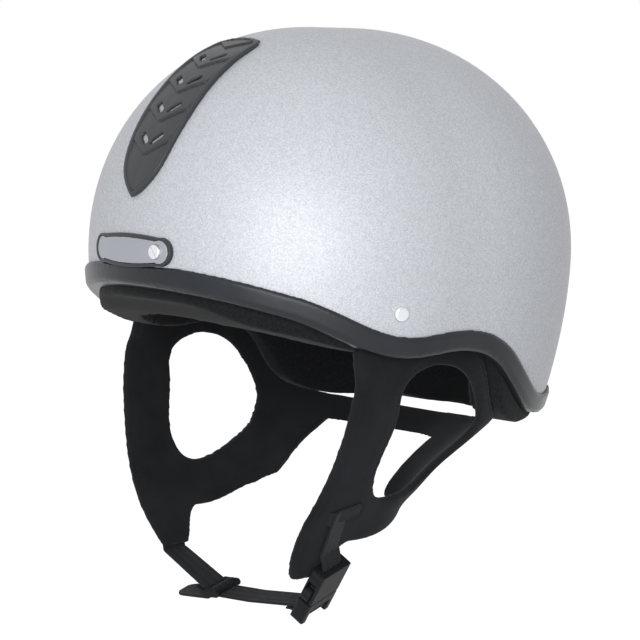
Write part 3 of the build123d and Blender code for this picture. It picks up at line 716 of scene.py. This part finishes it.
def chained(edges: list[bmesh.types.BMEdge]) -> list[list[bmesh.types.BMVert]]:
    """Return the closed or open chains that some edges form."""
    links: dict[bmesh.types.BMVert, list[bmesh.types.BMVert]] = {}
    for edge in edges:
        first, second = edge.verts
        links.setdefault(first, []).append(second)
        links.setdefault(second, []).append(first)
    chains = []
    seen: set[bmesh.types.BMVert] = set()
    for start in sorted(links, key=lambda vertex: len(links[vertex]) != 1):
        if start in seen:
            continue
        chain = [start]
        seen.add(start)
        ahead = [vertex for vertex in links[start] if vertex not in seen]
        while ahead:
            chain.append(ahead[0])
            seen.add(ahead[0])
            ahead = [vertex for vertex in links[ahead[0]] if vertex not in seen]
        if len(chain) > 2 and start in links[chain[-1]]:
            chain.append(start)
        if len(chain) > 2:
            chains.append(chain)
    return chains


def length_of(points: list[Vector]) -> float:
    """Return the length of a line."""
    return sum((after - before).length for before, after in zip(points, points[1:]))


def paced(points: list[Vector], count: int, last: int) -> Iterator[tuple[int, float]]:
    """Walk a line in even steps.

    Args:
        points: The line.
        count: How many steps its whole length takes.
        last: The step that the walk ends at.

    Yields:
        The stretch that a step lies on, and the share of that stretch.
    """
    lengths = [(after - before).length for before, after in zip(points, points[1:])]
    whole = sum(lengths)
    place = 0
    passed = 0.0
    for step in range(last + 1):
        goal = whole * step / count
        while place < len(lengths) - 1 and passed + lengths[place] < goal:
            passed += lengths[place]
            place += 1
        yield place, min(max((goal - passed) / max(lengths[place], TINY), 0.0), 1.0)


def even(points: list[Vector], pitch: float) -> list[Vector]:
    """Return points an even step apart along a line, without its end."""
    count = max(int(length_of(points) / pitch), 1)
    return [points[place].lerp(points[place + 1], share) for place, share in paced(points, count, count - 1)]


def nearest(points: list[Vector]) -> KDTree:
    """Return a search tree of some points."""
    tree = KDTree(len(points))
    for place, point in enumerate(points):
        tree.insert(point, place)
    tree.balance()
    return tree


def sewn(name: str, spots: list[Spot], length: float, radius: float) -> bpy.types.Object | None:
    """Return one piece with a short bowed thread at each spot.

    Args:
        name: The piece's name.
        spots: Place, run and outward normal of each stitch.
        length: Length of a stitch.
        radius: Radius of the thread.

    Returns:
        The piece, or None where there are no spots.
    """
    if not spots:
        return None
    lying = Matrix.Rotation(math.pi / 2, 4, "X")
    whole = bmesh.new()
    for first in range(0, len(spots), BATCH):
        shape = bmesh.new()
        for place, run, normal in spots[first : first + BATCH]:
            along = (run - normal * run.dot(normal)).normalized()
            turn = Matrix((normal.cross(along), along, normal)).transposed().to_4x4()
            size = Matrix.Diagonal((radius, length / 2, radius, 1))
            spot = Matrix.Translation(place + normal * radius * 0.2) @ turn @ size @ lying
            bmesh.ops.create_uvsphere(shape, u_segments=6, v_segments=4, radius=1.0, matrix=spot)
        part = mesh_of(name, shape)
        whole.from_mesh(part)
        bpy.data.meshes.remove(part)
    piece = shown(name, whole)
    shade_smooth(piece.data)
    return piece


@dataclass
class Station:
    """A place along a strap: its middle and the direction across it."""

    middle: Vector
    across: Vector


@dataclass
class Strap:
    """A flat woven strap through some stations."""

    name: str
    width: float
    wall: float
    stations: list[Station]
    tip: float = 0.0
    levels: int = 2
    selvedge: float = 0.12
    face: float = 0.42
    brink: float = 0.3
    tip_share: float = 0.96

    def build(self) -> bpy.types.Object:
        """Return the strap with a weave map that follows it."""
        shape = bmesh.new()
        weave = shape.loops.layers.uv.new("weave")
        rings = []
        lengths = []
        passed = 0.0
        for place, station in enumerate(self.stations):
            if place:
                passed += (station.middle - self.stations[place - 1].middle).length
            lengths.append(passed)
            rings.append(self.ring(shape, place, passed))
        whole = passed
        outline = self.outline()
        count = len(outline)
        for place in range(len(rings) - 1):
            for step in range(count):
                ahead = (step + 1) % count
                corners = ((step, place), (ahead, place), (ahead, place + 1), (step, place + 1))
                face = shape.faces.new([rings[row][side] for side, row in corners])
                for loop, (side, row) in zip(face.loops, corners):
                    loop[weave].uv = (outline[side][0] * self.width, lengths[row])
        for ring, row in ((rings[0], 0), (rings[-1], len(rings) - 1)):
            half = count // 2
            for step in range(half - 1):
                corners = (step, step + 1, count - 2 - step, count - 1 - step)
                face = shape.faces.new([ring[corner] for corner in corners])
                for loop, side in zip(face.loops, corners):
                    loop[weave].uv = (outline[side][0] * self.width, lengths[row])
        bmesh.ops.recalc_face_normals(shape, faces=shape.faces)
        piece = shown(self.name, shape)
        smooth = piece.modifiers.new("roundness", "SUBSURF")
        smooth.levels = self.levels
        smooth.render_levels = self.levels
        LOG.info("%s: %.1f mm long", self.name, whole / MM)
        return settled(piece)

    def outline(self) -> list[tuple[float, float]]:
        """Return the section as shares of the width and of the thickness."""
        edge = self.selvedge
        half = [(0.17, self.face), (0.5 - edge, self.face), (0.5 - edge * 0.4, 0.5), (0.5, self.brink)]
        top = [*[(-across, up) for across, up in reversed(half)], *half]
        return [*top, *[(across, -up) for across, up in reversed(top)]]

    def ring(self, shape: bmesh.types.BMesh, place: int, passed: float) -> list[bmesh.types.BMVert]:
        """Add the section at a station.

        Args:
            shape: The strap so far.
            place: The station's number.
            passed: Length of strap before it.

        Returns:
            The section's vertices.
        """
        last = len(self.stations) - 1
        before = self.stations[max(place - 1, 0)].middle
        after = self.stations[min(place + 1, last)].middle
        run = (after - before).normalized()
        across = self.stations[place].across
        across = (across - run * across.dot(run)).normalized()
        up = run.cross(across)
        wide = self.width
        if passed < self.tip:
            wide -= 2 * (self.tip - math.sqrt(self.tip ** 2 - (self.tip - passed) ** 2)) * self.tip_share
        middle = self.stations[place].middle
        return [shape.verts.new(middle + across * side * wide + up * rise * self.wall) for side, rise in self.outline()]


def eased(corners: list[tuple[float, float]], radius: float, steps: int = 6) -> list[tuple[float, float]]:
    """Return a line whose corners are rounded.

    Args:
        corners: The corners of the line, in its own plane.
        radius: How far from a corner its rounding starts.
        steps: Points on each rounding.

    Returns:
        The points of the rounded line.
    """
    line = [Vector(corners[0])]
    for place in range(1, len(corners) - 1):
        corner = Vector(corners[place])
        before = Vector(corners[place - 1]) - corner
        after = Vector(corners[place + 1]) - corner
        start = corner + before.normalized() * min(radius, before.length * 0.49)
        end = corner + after.normalized() * min(radius, after.length * 0.49)
        for step in range(steps + 1):
            share = step / steps
            line.append(start.lerp(corner, share).lerp(corner.lerp(end, share), share))
    line.append(Vector(corners[-1]))
    return [(point.x, point.y) for point in line]


def stations(points: list[Vector], across: list[Vector], pitch: float) -> list[Station]:
    """Return stations an even step apart along a line.

    Args:
        points: The line.
        across: The direction across the strap at each point.
        pitch: Step in metres.

    Returns:
        The stations.
    """
    count = max(round(length_of(points) / pitch), 2)
    result = []
    for place, share in paced(points, count, count):
        middle = points[place].lerp(points[place + 1], share)
        result.append(Station(middle, across[place].lerp(across[place + 1], share).normalized()))
    return result


def cast(tree: BVHTree, start: Vector, heading: Vector) -> tuple[Vector, Vector] | None:
    """Return where a ray meets a surface, and the outward normal there."""
    place, normal, _, _ = tree.ray_cast(start, heading)
    return None if place is None else (place, normal)


def tree_of(*nodes: str) -> BVHTree:
    """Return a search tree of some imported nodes."""
    shape = merged(*nodes)
    shape.normal_update()
    tree = BVHTree.FromBMesh(shape)
    shape.free()
    return tree


@dataclass(frozen=True)
class DomeSkin:
    """The outer skin of the dome, two half ellipsoids joined by a straight length."""

    half_width: float = 119.0 * MM
    front_reach: float = 116.9 * MM
    rear_reach: float = 129.4 * MM
    front_centre: float = -15.5 * MM
    rear_centre: float = 10.3 * MM
    crown: float = 120.4 * MM
    skirt: float = 216.0 * MM
    crown_fullness: float = 2.05
    skirt_fullness: float = 1.7

    def level(self, place: Vector, inset: float) -> tuple[float, Vector]:
        """Return how deep a point is under a skin, and the way out.

        Args:
            place: The point.
            inset: How far the skin is drawn in from the outer one.

        Returns:
            The depth, less than zero outside, and the outward normal.
        """
        centre = min(max(place.y, self.front_centre), self.rear_centre)
        reach = (self.front_reach if place.y < centre else self.rear_reach) - inset
        wide = self.half_width - inset
        upper = place.z > 0
        power = self.crown_fullness if upper else self.skirt_fullness
        high = (self.crown if upper else self.skirt) - inset
        across = place.x / wide
        along = (place.y - centre) / reach
        ring = max(across * across + along * along, TINY)
        value = ring ** (power / 2) + (abs(place.z) / high) ** power
        slope = power * ring ** (power / 2 - 1)
        lift = power * (abs(place.z) / high) ** (power - 1) / high
        gradient = Vector((slope * across / wide, slope * along / reach, lift if upper else -lift))
        return (1 - value) / max(gradient.length, TINY), gradient.normalized()

    def settle(self, piece: bpy.types.Object, insets: tuple[float, ...], catch: float) -> None:
        """Bring the points of a piece that lie near a skin exactly onto it.

        Args:
            piece: The piece.
            insets: The skins that it may lie on.
            catch: How near a point must be.
        """
        for vertex in piece.data.vertices:
            for inset in insets:
                depth, _ = self.level(vertex.co, inset)
                if abs(depth) < catch:
                    for _ in range(3):
                        depth, away = self.level(vertex.co, inset)
                        vertex.co += away * depth
                    break


class Assembly:
    """A group of pieces that are built and reported together."""

    title = "assembly"

    def __init__(self, palette: Palette, dresser: Dresser) -> None:
        """Keep what every group needs.

        Args:
            palette: The finishes.
            dresser: Puts a finish on a piece.
        """
        self.palette = palette
        self.dresser = dresser

    def finish(
        self,
        piece: bpy.types.Object,
        finish: Finish,
        slot: str,
        body: str | None = ROOT,
        nodes: tuple[str, ...] = (),
    ) -> None:
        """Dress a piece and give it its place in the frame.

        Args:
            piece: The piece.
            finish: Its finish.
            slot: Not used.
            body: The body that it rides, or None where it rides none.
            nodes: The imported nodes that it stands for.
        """
        self.dresser.put(piece, finish)
        if nodes:
            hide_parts(*nodes)
        if body:
            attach(piece, body)
        LOG.info("%s: %s, %d faces", self.title, piece.name, len(piece.data.polygons))

    def rounded(
        self,
        name: str,
        nodes: tuple[str, ...],
        voxel: float,
        rounds: int,
        finish: Finish,
        slot: str,
        body: str = ROOT,
    ) -> bpy.types.Object:
        """Make a rounded copy of some nodes, and finish it."""
        piece = softened(name, nodes, voxel, rounds)
        self.finish(piece, finish, slot, body=body, nodes=nodes)
        return piece

    def build(self) -> None:
        """Make the pieces of the group."""
        raise NotImplementedError


class ShellAssembly(Assembly):
    """Shell, trim, vent, badge and side rivets."""

    title = "shell"
    shell_voxel = 2.0 * MM
    shell_wall = 3.8 * MM
    skin_catch = 0.8 * MM
    trim_voxel = 0.85 * MM
    trim_rounds = 6
    vent_voxel = 0.42 * MM
    badge_voxel = 0.32 * MM
    part_rounds = 2
    vent_middle = (0.0, -95.0 * MM, 72.8 * MM)
    vent_pitch = math.radians(49)
    field_low = 0.2 * MM
    field_high = 1.7 * MM
    least_facing = 0.5
    first_scale = -31.7 * MM
    scale_slope = 0.55
    scale_pitch = 18.6 * MM
    scale_lift = 0.9 * MM

    def build(self) -> None:
        """Make the shell and all that is fixed to it."""
        shell = softened("shell", ("outer_shell",), self.shell_voxel, 0)
        DomeSkin().settle(shell, (0.0, self.shell_wall), self.skin_catch)
        self.finish(shell, self.palette.shell, "shell_paint", nodes=("outer_shell",))
        self.rounded("trim", ("edge_trim",), self.trim_voxel, self.trim_rounds, self.palette.trim, "trim_rubber")
        vent = softened("vent", ("vent_cover",), self.vent_voxel, self.part_rounds)
        self.lift_scales(vent)
        self.finish(vent, self.palette.vent, "vent_plastic", nodes=("vent_cover",))
        for name, node, finish, slot in (
            ("badge_rim", "badge_surround", self.palette.badge_rim, "badge_rim"),
            ("badge", "badge_plate", self.palette.badge, "badge_metal"),
        ):
            self.rounded(name, (node,), self.badge_voxel, self.part_rounds, finish, slot)
        self.dresser.put(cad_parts["badge_stud"], self.palette.stud)
        for node in ("side_rivets", "rivet_washers"):
            self.dresser.put(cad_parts[node], self.palette.rivet)

    def lift_scales(self, vent: bpy.types.Object) -> None:
        """Raise the lower edge of each scale of the vent over the one below it."""
        skin = DomeSkin()
        middle = Vector(self.vent_middle)
        upward = Vector((0, math.cos(self.vent_pitch), math.sin(self.vent_pitch)))
        normals = [vertex.normal.copy() for vertex in vent.data.vertices]
        for vertex, normal in zip(vent.data.vertices, normals):
            depth, away = skin.level(vertex.co, 0.0)
            if not self.field_low < -depth < self.field_high or normal.dot(away) < self.least_facing:
                continue
            along = (vertex.co - middle).dot(upward)
            phase = (along - self.first_scale - self.scale_slope * abs(vertex.co.x)) / self.scale_pitch
            share = phase - math.floor(phase)
            vertex.co += away * self.scale_lift * (1 - share)


class LinerAssembly(Assembly):
    """Foam liner in its cloth cover, and the pads inside."""

    title = "liner"
    liner_voxel = 2.0 * MM
    liner_rounds = 3
    pad_voxel = 1.4 * MM
    pad_rounds = 6
    pad_reach = 100 * MM
    channel_pitch = 26 * MM
    channel_depth = 1.1 * MM
    channel_width = 1.6 * MM

    def build(self) -> None:
        """Make the liner and the pads."""
        nodes = ("impact_liner", "liner_cover")
        liner = self.rounded("liner", nodes, self.liner_voxel, self.liner_rounds, self.palette.lining, "liner_cloth")
        for name, node in (("headband", "headband_pad"), ("crown_cushion", "crown_pad")):
            pad = softened(name, (node,), self.pad_voxel, self.pad_rounds)
            self.quilt(pad)
            self.finish(pad, self.palette.lining, "liner_cloth", nodes=(node,))

    def quilt(self, pad: bpy.types.Object) -> None:
        """Sink sewn channels across a pad."""
        normals = [vertex.normal.copy() for vertex in pad.data.vertices]
        for vertex, normal in zip(pad.data.vertices, normals):
            spot = math.atan2(vertex.co.x, -vertex.co.y) * self.pad_reach / self.channel_pitch
            gap = abs(spot - round(spot)) * self.channel_pitch
            vertex.co -= normal * self.channel_depth * math.exp(-((gap / self.channel_width) ** 2))


class HarnessAssembly(Assembly):
    """The padded suede sides and the nape strap."""

    title = "harness"

    def build(self) -> None:
        """Make the padded panels and their sewing."""
        nodes = ("left_harness", "right_harness", "nape_strap")
        padding = Padding("padded_harness", nodes)
        piece = padding.build()
        self.finish(piece, self.palette.suede, "harness_suede", nodes=nodes)
        sewing = padding.stitches(piece)
        if sewing is not None:
            self.finish(sewing, self.palette.thread, "harness_suede")


@dataclass(frozen=True)
class ChinLine:
    """The directions that the webbing and the buckle keep to."""

    top: Vector = field(default_factory=lambda: Vector((66.5, -53.5, -156.5)) * MM)
    sway: float = math.radians(11)
    tilt: float = math.radians(13)
    lean: float = math.radians(36)
    bar_place: float = 31.0 * MM
    end: tuple[float, float] = (-110.4 * MM, -30.4 * MM)

    @property
    def along(self) -> Vector:
        """The level direction in the strap's plane."""
        return Vector((math.cos(self.sway), math.sin(self.sway), 0))

    @property
    def across(self) -> Vector:
        """The direction of the strap's width, to its front edge."""
        level = math.cos(self.tilt)
        return Vector((math.sin(self.sway) * level, -math.cos(self.sway) * level, -math.sin(self.tilt)))

    @property
    def upright(self) -> Vector:
        """The steepest direction in the strap's plane."""
        return self.across.cross(self.along)

    @property
    def bar(self) -> Vector:
        """The middle of the bar that the chin strap is looped round."""
        return self.at(-self.bar_place * math.sin(self.lean), -self.bar_place * math.cos(self.lean))

    @property
    def run(self) -> Vector:
        """The direction of the chin strap, towards its bar."""
        return (self.bar - self.at(*self.end)).normalized()

    @property
    def lift(self) -> Vector:
        """The direction out of the chin strap, upward."""
        return self.across.cross(self.run)

    def at(self, level: float, height: float) -> Vector:
        """Return a point of the strap's plane, from the top of the buckle."""
        return self.top + self.along * level + self.upright * height

    def on_strap(self, back: float, rise: float) -> Vector:
        """Return a point beside the chin strap, from its bar."""
        return self.bar + self.run * back + self.lift * rise


class WebbingAssembly(Assembly):
    """The webbing, its patch, the chin strap and its slider."""

    title = "webbing"
    width = 15 * MM
    wall = 1.6 * MM
    chin_wall = 1.5 * MM
    rise = 36 * MM
    fold = 4.3 * MM
    band = 2.55 * MM
    slider_back = -62.58 * MM
    slider_pitch = 3.7 * MM
    slider_loop = 5.6 * MM
    hump = 6.25 * MM
    tail = 0.7 * MM
    reach = 92.33 * MM
    sag = 1.1 * MM
    far_turn = math.radians(28)
    far_ring = 1.9 * MM
    far_foot = Vector((-59.9, -62.5, -161.8)) * MM
    far_bend = Vector((-58.8, -62.6, -165.8)) * MM
    far_top = -136 * MM
    far_side = -0.2
    far_centre = 1.85 * MM
    patch_voxel = 0.3 * MM
    slider_voxel = 0.28 * MM
    part_rounds = 3
    start_out = 40 * MM
    straight_height = 7 * MM
    first_height = 8 * MM
    foot_bend = 3 * MM
    height_step = 2 * MM
    air = 0.05 * MM
    strap_pitch = 1.6 * MM
    chin_pitch = 0.8 * MM
    far_pitch = 1.0 * MM
    sewn_heights = (27.6 * MM, 32.9 * MM)
    sewn_pitch = 1.9 * MM
    sewn_reach = 4
    thread_length = 1.4 * MM
    thread_radius = 0.24 * MM
    loop_turn = 1.12
    loop_steps = 12
    flap = ((-6 * MM, -0.6 * MM), (-9 * MM, 0.75 * MM), (-12 * MM, 0.9 * MM))
    far_flap = ((4 * MM, 0.5 * MM), (7 * MM, 0.8 * MM))
    chin_tip = 6 * MM
    chin_bend = 1.6 * MM
    rear_ramp = 2 * MM
    front_ramp = 1.2 * MM
    chin_straight = -40 * MM

    def build(self) -> None:
        """Make the straps."""
        self.line = ChinLine()
        self.left_webbing()
        self.patch()
        self.chin_strap()
        self.slider()
        self.right_webbing()

    def left_webbing(self) -> None:
        """Make the webbing that runs up the left side from the buckle."""
        line = self.line
        tree = tree_of("left_harness")
        foot = (-self.fold * math.sin(line.lean), -self.fold * math.cos(line.lean))
        route = eased([foot, (0, 0), (0, self.straight_height)], self.foot_bend)
        points = [line.at(*spot) for spot in route]
        height = self.first_height
        while height <= self.rise:
            hit = cast(tree, line.at(self.start_out, height), -line.along)
            if hit is not None:
                points.append(hit[0] + hit[1] * (self.wall / 2 + self.air))
            height += self.height_step
        places = stations(points, [line.across] * len(points), self.strap_pitch)
        strap = Strap("left_strap", self.width, self.wall, places).build()
        self.finish(strap, self.palette.webbing, "webbing", nodes=("left_webbing",))

    def patch(self) -> None:
        """Make the patch that is sewn over the end of the left webbing."""
        nodes = ("stitched_patch",)
        size = self.patch_voxel
        patch = self.rounded("strap_patch", nodes, size, self.part_rounds, self.palette.patch, "webbing")
        tree = BVHTree.FromObject(patch, bpy.context.evaluated_depsgraph_get())
        line = self.line
        spots = []
        for height in self.sewn_heights:
            for step in range(-self.sewn_reach, self.sewn_reach + 1):
                start = line.at(self.start_out, height) + line.across * step * self.sewn_pitch
                hit = cast(tree, start, -line.along)
                if hit is not None:
                    spots.append((hit[0], line.across, hit[1]))
        sewing = sewn("patch_stitching", spots, self.thread_length, self.thread_radius)
        if sewing is not None:
            self.finish(sewing, self.palette.thread, "webbing")

    def chin_strap(self) -> None:
        """Make the chin strap, from its tail over the slider to the loop round the bar."""
        line = self.line
        half = self.slider_pitch / 2
        route = eased(
            [
                (-self.reach, self.tail),
                (self.slider_back - half - self.rear_ramp, self.tail),
                (self.slider_back - half, self.hump),
                (self.slider_back + half, self.hump),
                (self.slider_back + half + self.front_ramp, self.band),
                (self.chin_straight, self.band),
                (0, self.band),
            ],
            self.chin_bend,
        )
        for step in range(1, self.loop_steps + 1):
            turn = math.pi / 2 - math.pi * self.loop_turn * step / self.loop_steps
            route.append((self.band * math.cos(turn), self.band * math.sin(turn)))
        route += self.flap
        points = [line.on_strap(back, rise - self.drop(back)) for back, rise in route]
        places = stations(points, [line.across] * len(points), self.chin_pitch)
        strap = Strap("chin_band", self.width, self.chin_wall, places, tip=self.chin_tip).build()
        self.finish(strap, self.palette.webbing, "webbing", body=None, nodes=("chin_strap",))
        line.on_strap(-54 * MM, 0)
        line.on_strap(-8 * MM, 0)
        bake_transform(strap)

    def drop(self, back: float) -> float:
        """Return how far the chin strap hangs below its straight line."""
        span = self.slider_back + 4 * MM
        if not span < back < 0:
            return 0.0
        return self.sag * math.sin(math.pi * back / span) ** 2

    def slider(self) -> None:
        """Make the slider."""
        nodes = ("strap_slider",)
        size = self.slider_voxel
        finish = self.palette.buckle
        self.rounded("slider_loop", nodes, size, self.part_rounds, finish, "buckle_plastic", "slider")

    def right_webbing(self) -> None:
        """Make the webbing that hangs from the right side to the slider's end bar."""
        line = self.line
        tree = tree_of("right_harness")
        points = []
        level = self.far_top
        while level > self.far_foot.z + 1 * MM:
            hit = cast(tree, Vector((self.far_side, self.far_foot.y, level)), Vector((1, 0, 0)))
            if hit is not None:
                points.append(hit[0] + hit[1] * (self.wall / 2 + self.air))
            level -= self.height_step
        points += [self.far_foot.copy(), self.far_bend.copy()]
        forward = Vector((0, -1, 0))
        across = [forward] * (len(points) - 1) + [forward.lerp(line.across, 0.3)]
        centre = (self.slider_back - self.slider_loop, self.band + self.far_centre)
        for step in range(self.loop_steps + 1):
            turn = math.pi / 2 - self.far_turn - math.pi * step / self.loop_steps
            back = centre[0] + self.far_ring * math.cos(turn)
            points.append(line.on_strap(back, centre[1] + self.far_ring * math.sin(turn)))
        away = -line.run * math.cos(self.far_turn) + line.lift * math.sin(self.far_turn)
        side = line.run * math.sin(self.far_turn) + line.lift * math.cos(self.far_turn)
        last = points[-1]
        points += [last + away * reach + side * lift for reach, lift in self.far_flap]
        across += [line.across] * (len(points) - len(across))
        strap = Strap("right_strap", self.width, self.wall, stations(points, across, self.far_pitch)).build()
        self.finish(strap, self.palette.webbing, "webbing", body=None, nodes=("right_webbing",))
        line.on_strap(centre[0] - 4 * MM, centre[1])
        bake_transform(strap)


class BuckleAssembly(Assembly):
    """The side-release buckle: socket, tongue and two sprung arms."""

    title = "buckle"
    voxel = 0.33 * MM
    rounds = 3

    def build(self) -> None:
        """Make the three kinds of moulding."""
        for name, node, body in (
            ("socket", "buckle_socket", ROOT),
            ("tongue_base", "buckle_tongue", "tongue"),
            ("front_press", "front_release_arm", "front_arm"),
            ("rear_press", "rear_release_arm", "rear_arm"),
        ):
            self.rounded(name, (node,), self.voxel, self.rounds, self.palette.buckle, "buckle_plastic", body)


@dataclass(frozen=True)
class Lamp:
    """A soft lamp aimed at the cap."""

    name: str
    place: tuple[float, float, float]
    power: float
    size: float


@dataclass(frozen=True)
class Studio:
    """The camera, the lamps, the white backdrop and the floor."""

    eye: tuple[float, float, float] = (0.91702, -0.76947, 0.08371)
    back: tuple[float, float, float] = (0.76418, -0.64122, 0.06976)
    right: tuple[float, float, float] = (0.64279, 0.76604, 0.0)
    upward: tuple[float, float, float] = (-0.05344, 0.04484, 0.99756)
    focus: float = 2200.0
    aim: tuple[float, float] = (-8.9, -69.7)
    sensor: float = 36.0
    lens: float = 123.75
    ambient: float = 0.36
    floor_level: float = -0.42
    floor_size: float = 30.0
    floor_glow: float = 0.86
    floor_colour: Colour = (0.5, 0.5, 0.5)
    target: tuple[float, float, float] = (0, 0, -0.02)
    lamps: tuple[Lamp, ...] = (
        Lamp("key", (0.95, -1.05, 0.2), 15.0, 1.0),
        Lamp("camera_side", (1.35, -0.75, -0.25), 1.2, 0.9),
        Lamp("top", (0.2, -0.4, 1.5), 1.2, 1.2),
    )

    def build(self) -> None:
        """Set the camera, the lamps and the white round them."""
        self.set_camera()
        self.set_world()
        self.set_floor()
        for lamp in self.lamps:
            self.set_lamp(lamp)
        bpy.context.scene.view_settings.view_transform = "Standard"

    def set_camera(self) -> None:
        """Place the camera."""
        across, upward = self.aim
        heading = Vector(self.right) * across + Vector(self.upward) * upward - Vector(self.back) * self.focus
        data = bpy.data.cameras.new("camera")
        data.lens = self.lens
        data.sensor_width = self.sensor
        camera = placed("camera", data)
        camera.location = self.eye
        camera.rotation_euler = turned(heading)
        bpy.context.scene.camera = camera

    def show(self, wiring: Wiring, plain: bpy.types.Node, bright: bpy.types.Node, output: str) -> None:
        """Show a bright shader to the eye, and light the cap with a plain one."""
        path = wiring.add("ShaderNodeLightPath")
        either = wiring.add("ShaderNodeMath", operation="MAXIMUM")
        seen = wiring.add("ShaderNodeMath", operation="MAXIMUM")
        wiring.join(path, "Is Camera Ray", either, 0)
        wiring.join(path, "Is Glossy Ray", either, 1)
        wiring.join(either, 0, seen, 0)
        wiring.join(path, "Is Transmission Ray", seen, 1)
        mix = wiring.add("ShaderNodeMixShader")
        wiring.join(seen, 0, mix, "Fac")
        wiring.join(plain, 0, mix, 1)
        wiring.join(bright, 0, mix, 2)
        wiring.join(mix, 0, wiring.add(output), "Surface")

    def set_world(self) -> None:
        """Make the backdrop white to the eye and plain as a light."""
        world = bpy.data.worlds.new("white")
        bpy.context.scene.world = world
        world.use_nodes = True
        wiring = Wiring(world.node_tree)
        white = wiring.add("ShaderNodeBackground")
        wiring.put(white, Color=(1, 1, 1, 1), Strength=1.0)
        light = wiring.add("ShaderNodeBackground")
        wiring.put(light, Color=(1, 1, 1, 1), Strength=self.ambient)
        self.show(wiring, light, white, "ShaderNodeOutputWorld")

    def set_floor(self) -> None:
        """Lay a white floor well below the cap."""
        shape = bmesh.new()
        level = Matrix.Translation((0, 0, self.floor_level))
        bmesh.ops.create_grid(shape, x_segments=1, y_segments=1, size=self.floor_size, matrix=level)
        floor = shown("floor", shape)
        material = bpy.data.materials.new("floor_white")
        material.use_nodes = True
        wiring = Wiring(material.node_tree)
        matt = wiring.add("ShaderNodeBsdfDiffuse")
        wiring.put(matt, Color=(*self.floor_colour, 1))
        glow = wiring.add("ShaderNodeEmission")
        wiring.put(glow, Strength=self.floor_glow)
        both = wiring.add("ShaderNodeAddShader")
        wiring.join(matt, 0, both, 0)
        wiring.join(glow, 0, both, 1)
        self.show(wiring, matt, both, "ShaderNodeOutputMaterial")
        floor.data.materials.append(material)

    def set_lamp(self, lamp: Lamp) -> None:
        """Add a soft lamp aimed at the cap."""
        data = bpy.data.lights.new(lamp.name, "AREA")
        data.energy = lamp.power
        data.size = lamp.size
        item = placed(lamp.name, data)
        item.location = lamp.place
        item.rotation_euler = turned(Vector(self.target) - Vector(lamp.place))


def main() -> None:
    """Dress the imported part."""
    logging.basicConfig(level=logging.INFO, format="%(relativeCreated)d ms %(message)s")
    palette = Palette()
    dresser = Dresser()
    for group in (ShellAssembly, LinerAssembly, HarnessAssembly, WebbingAssembly, BuckleAssembly):
        group(palette, dresser).build()
    Studio().build()


if __name__ == "__main__":
    main()
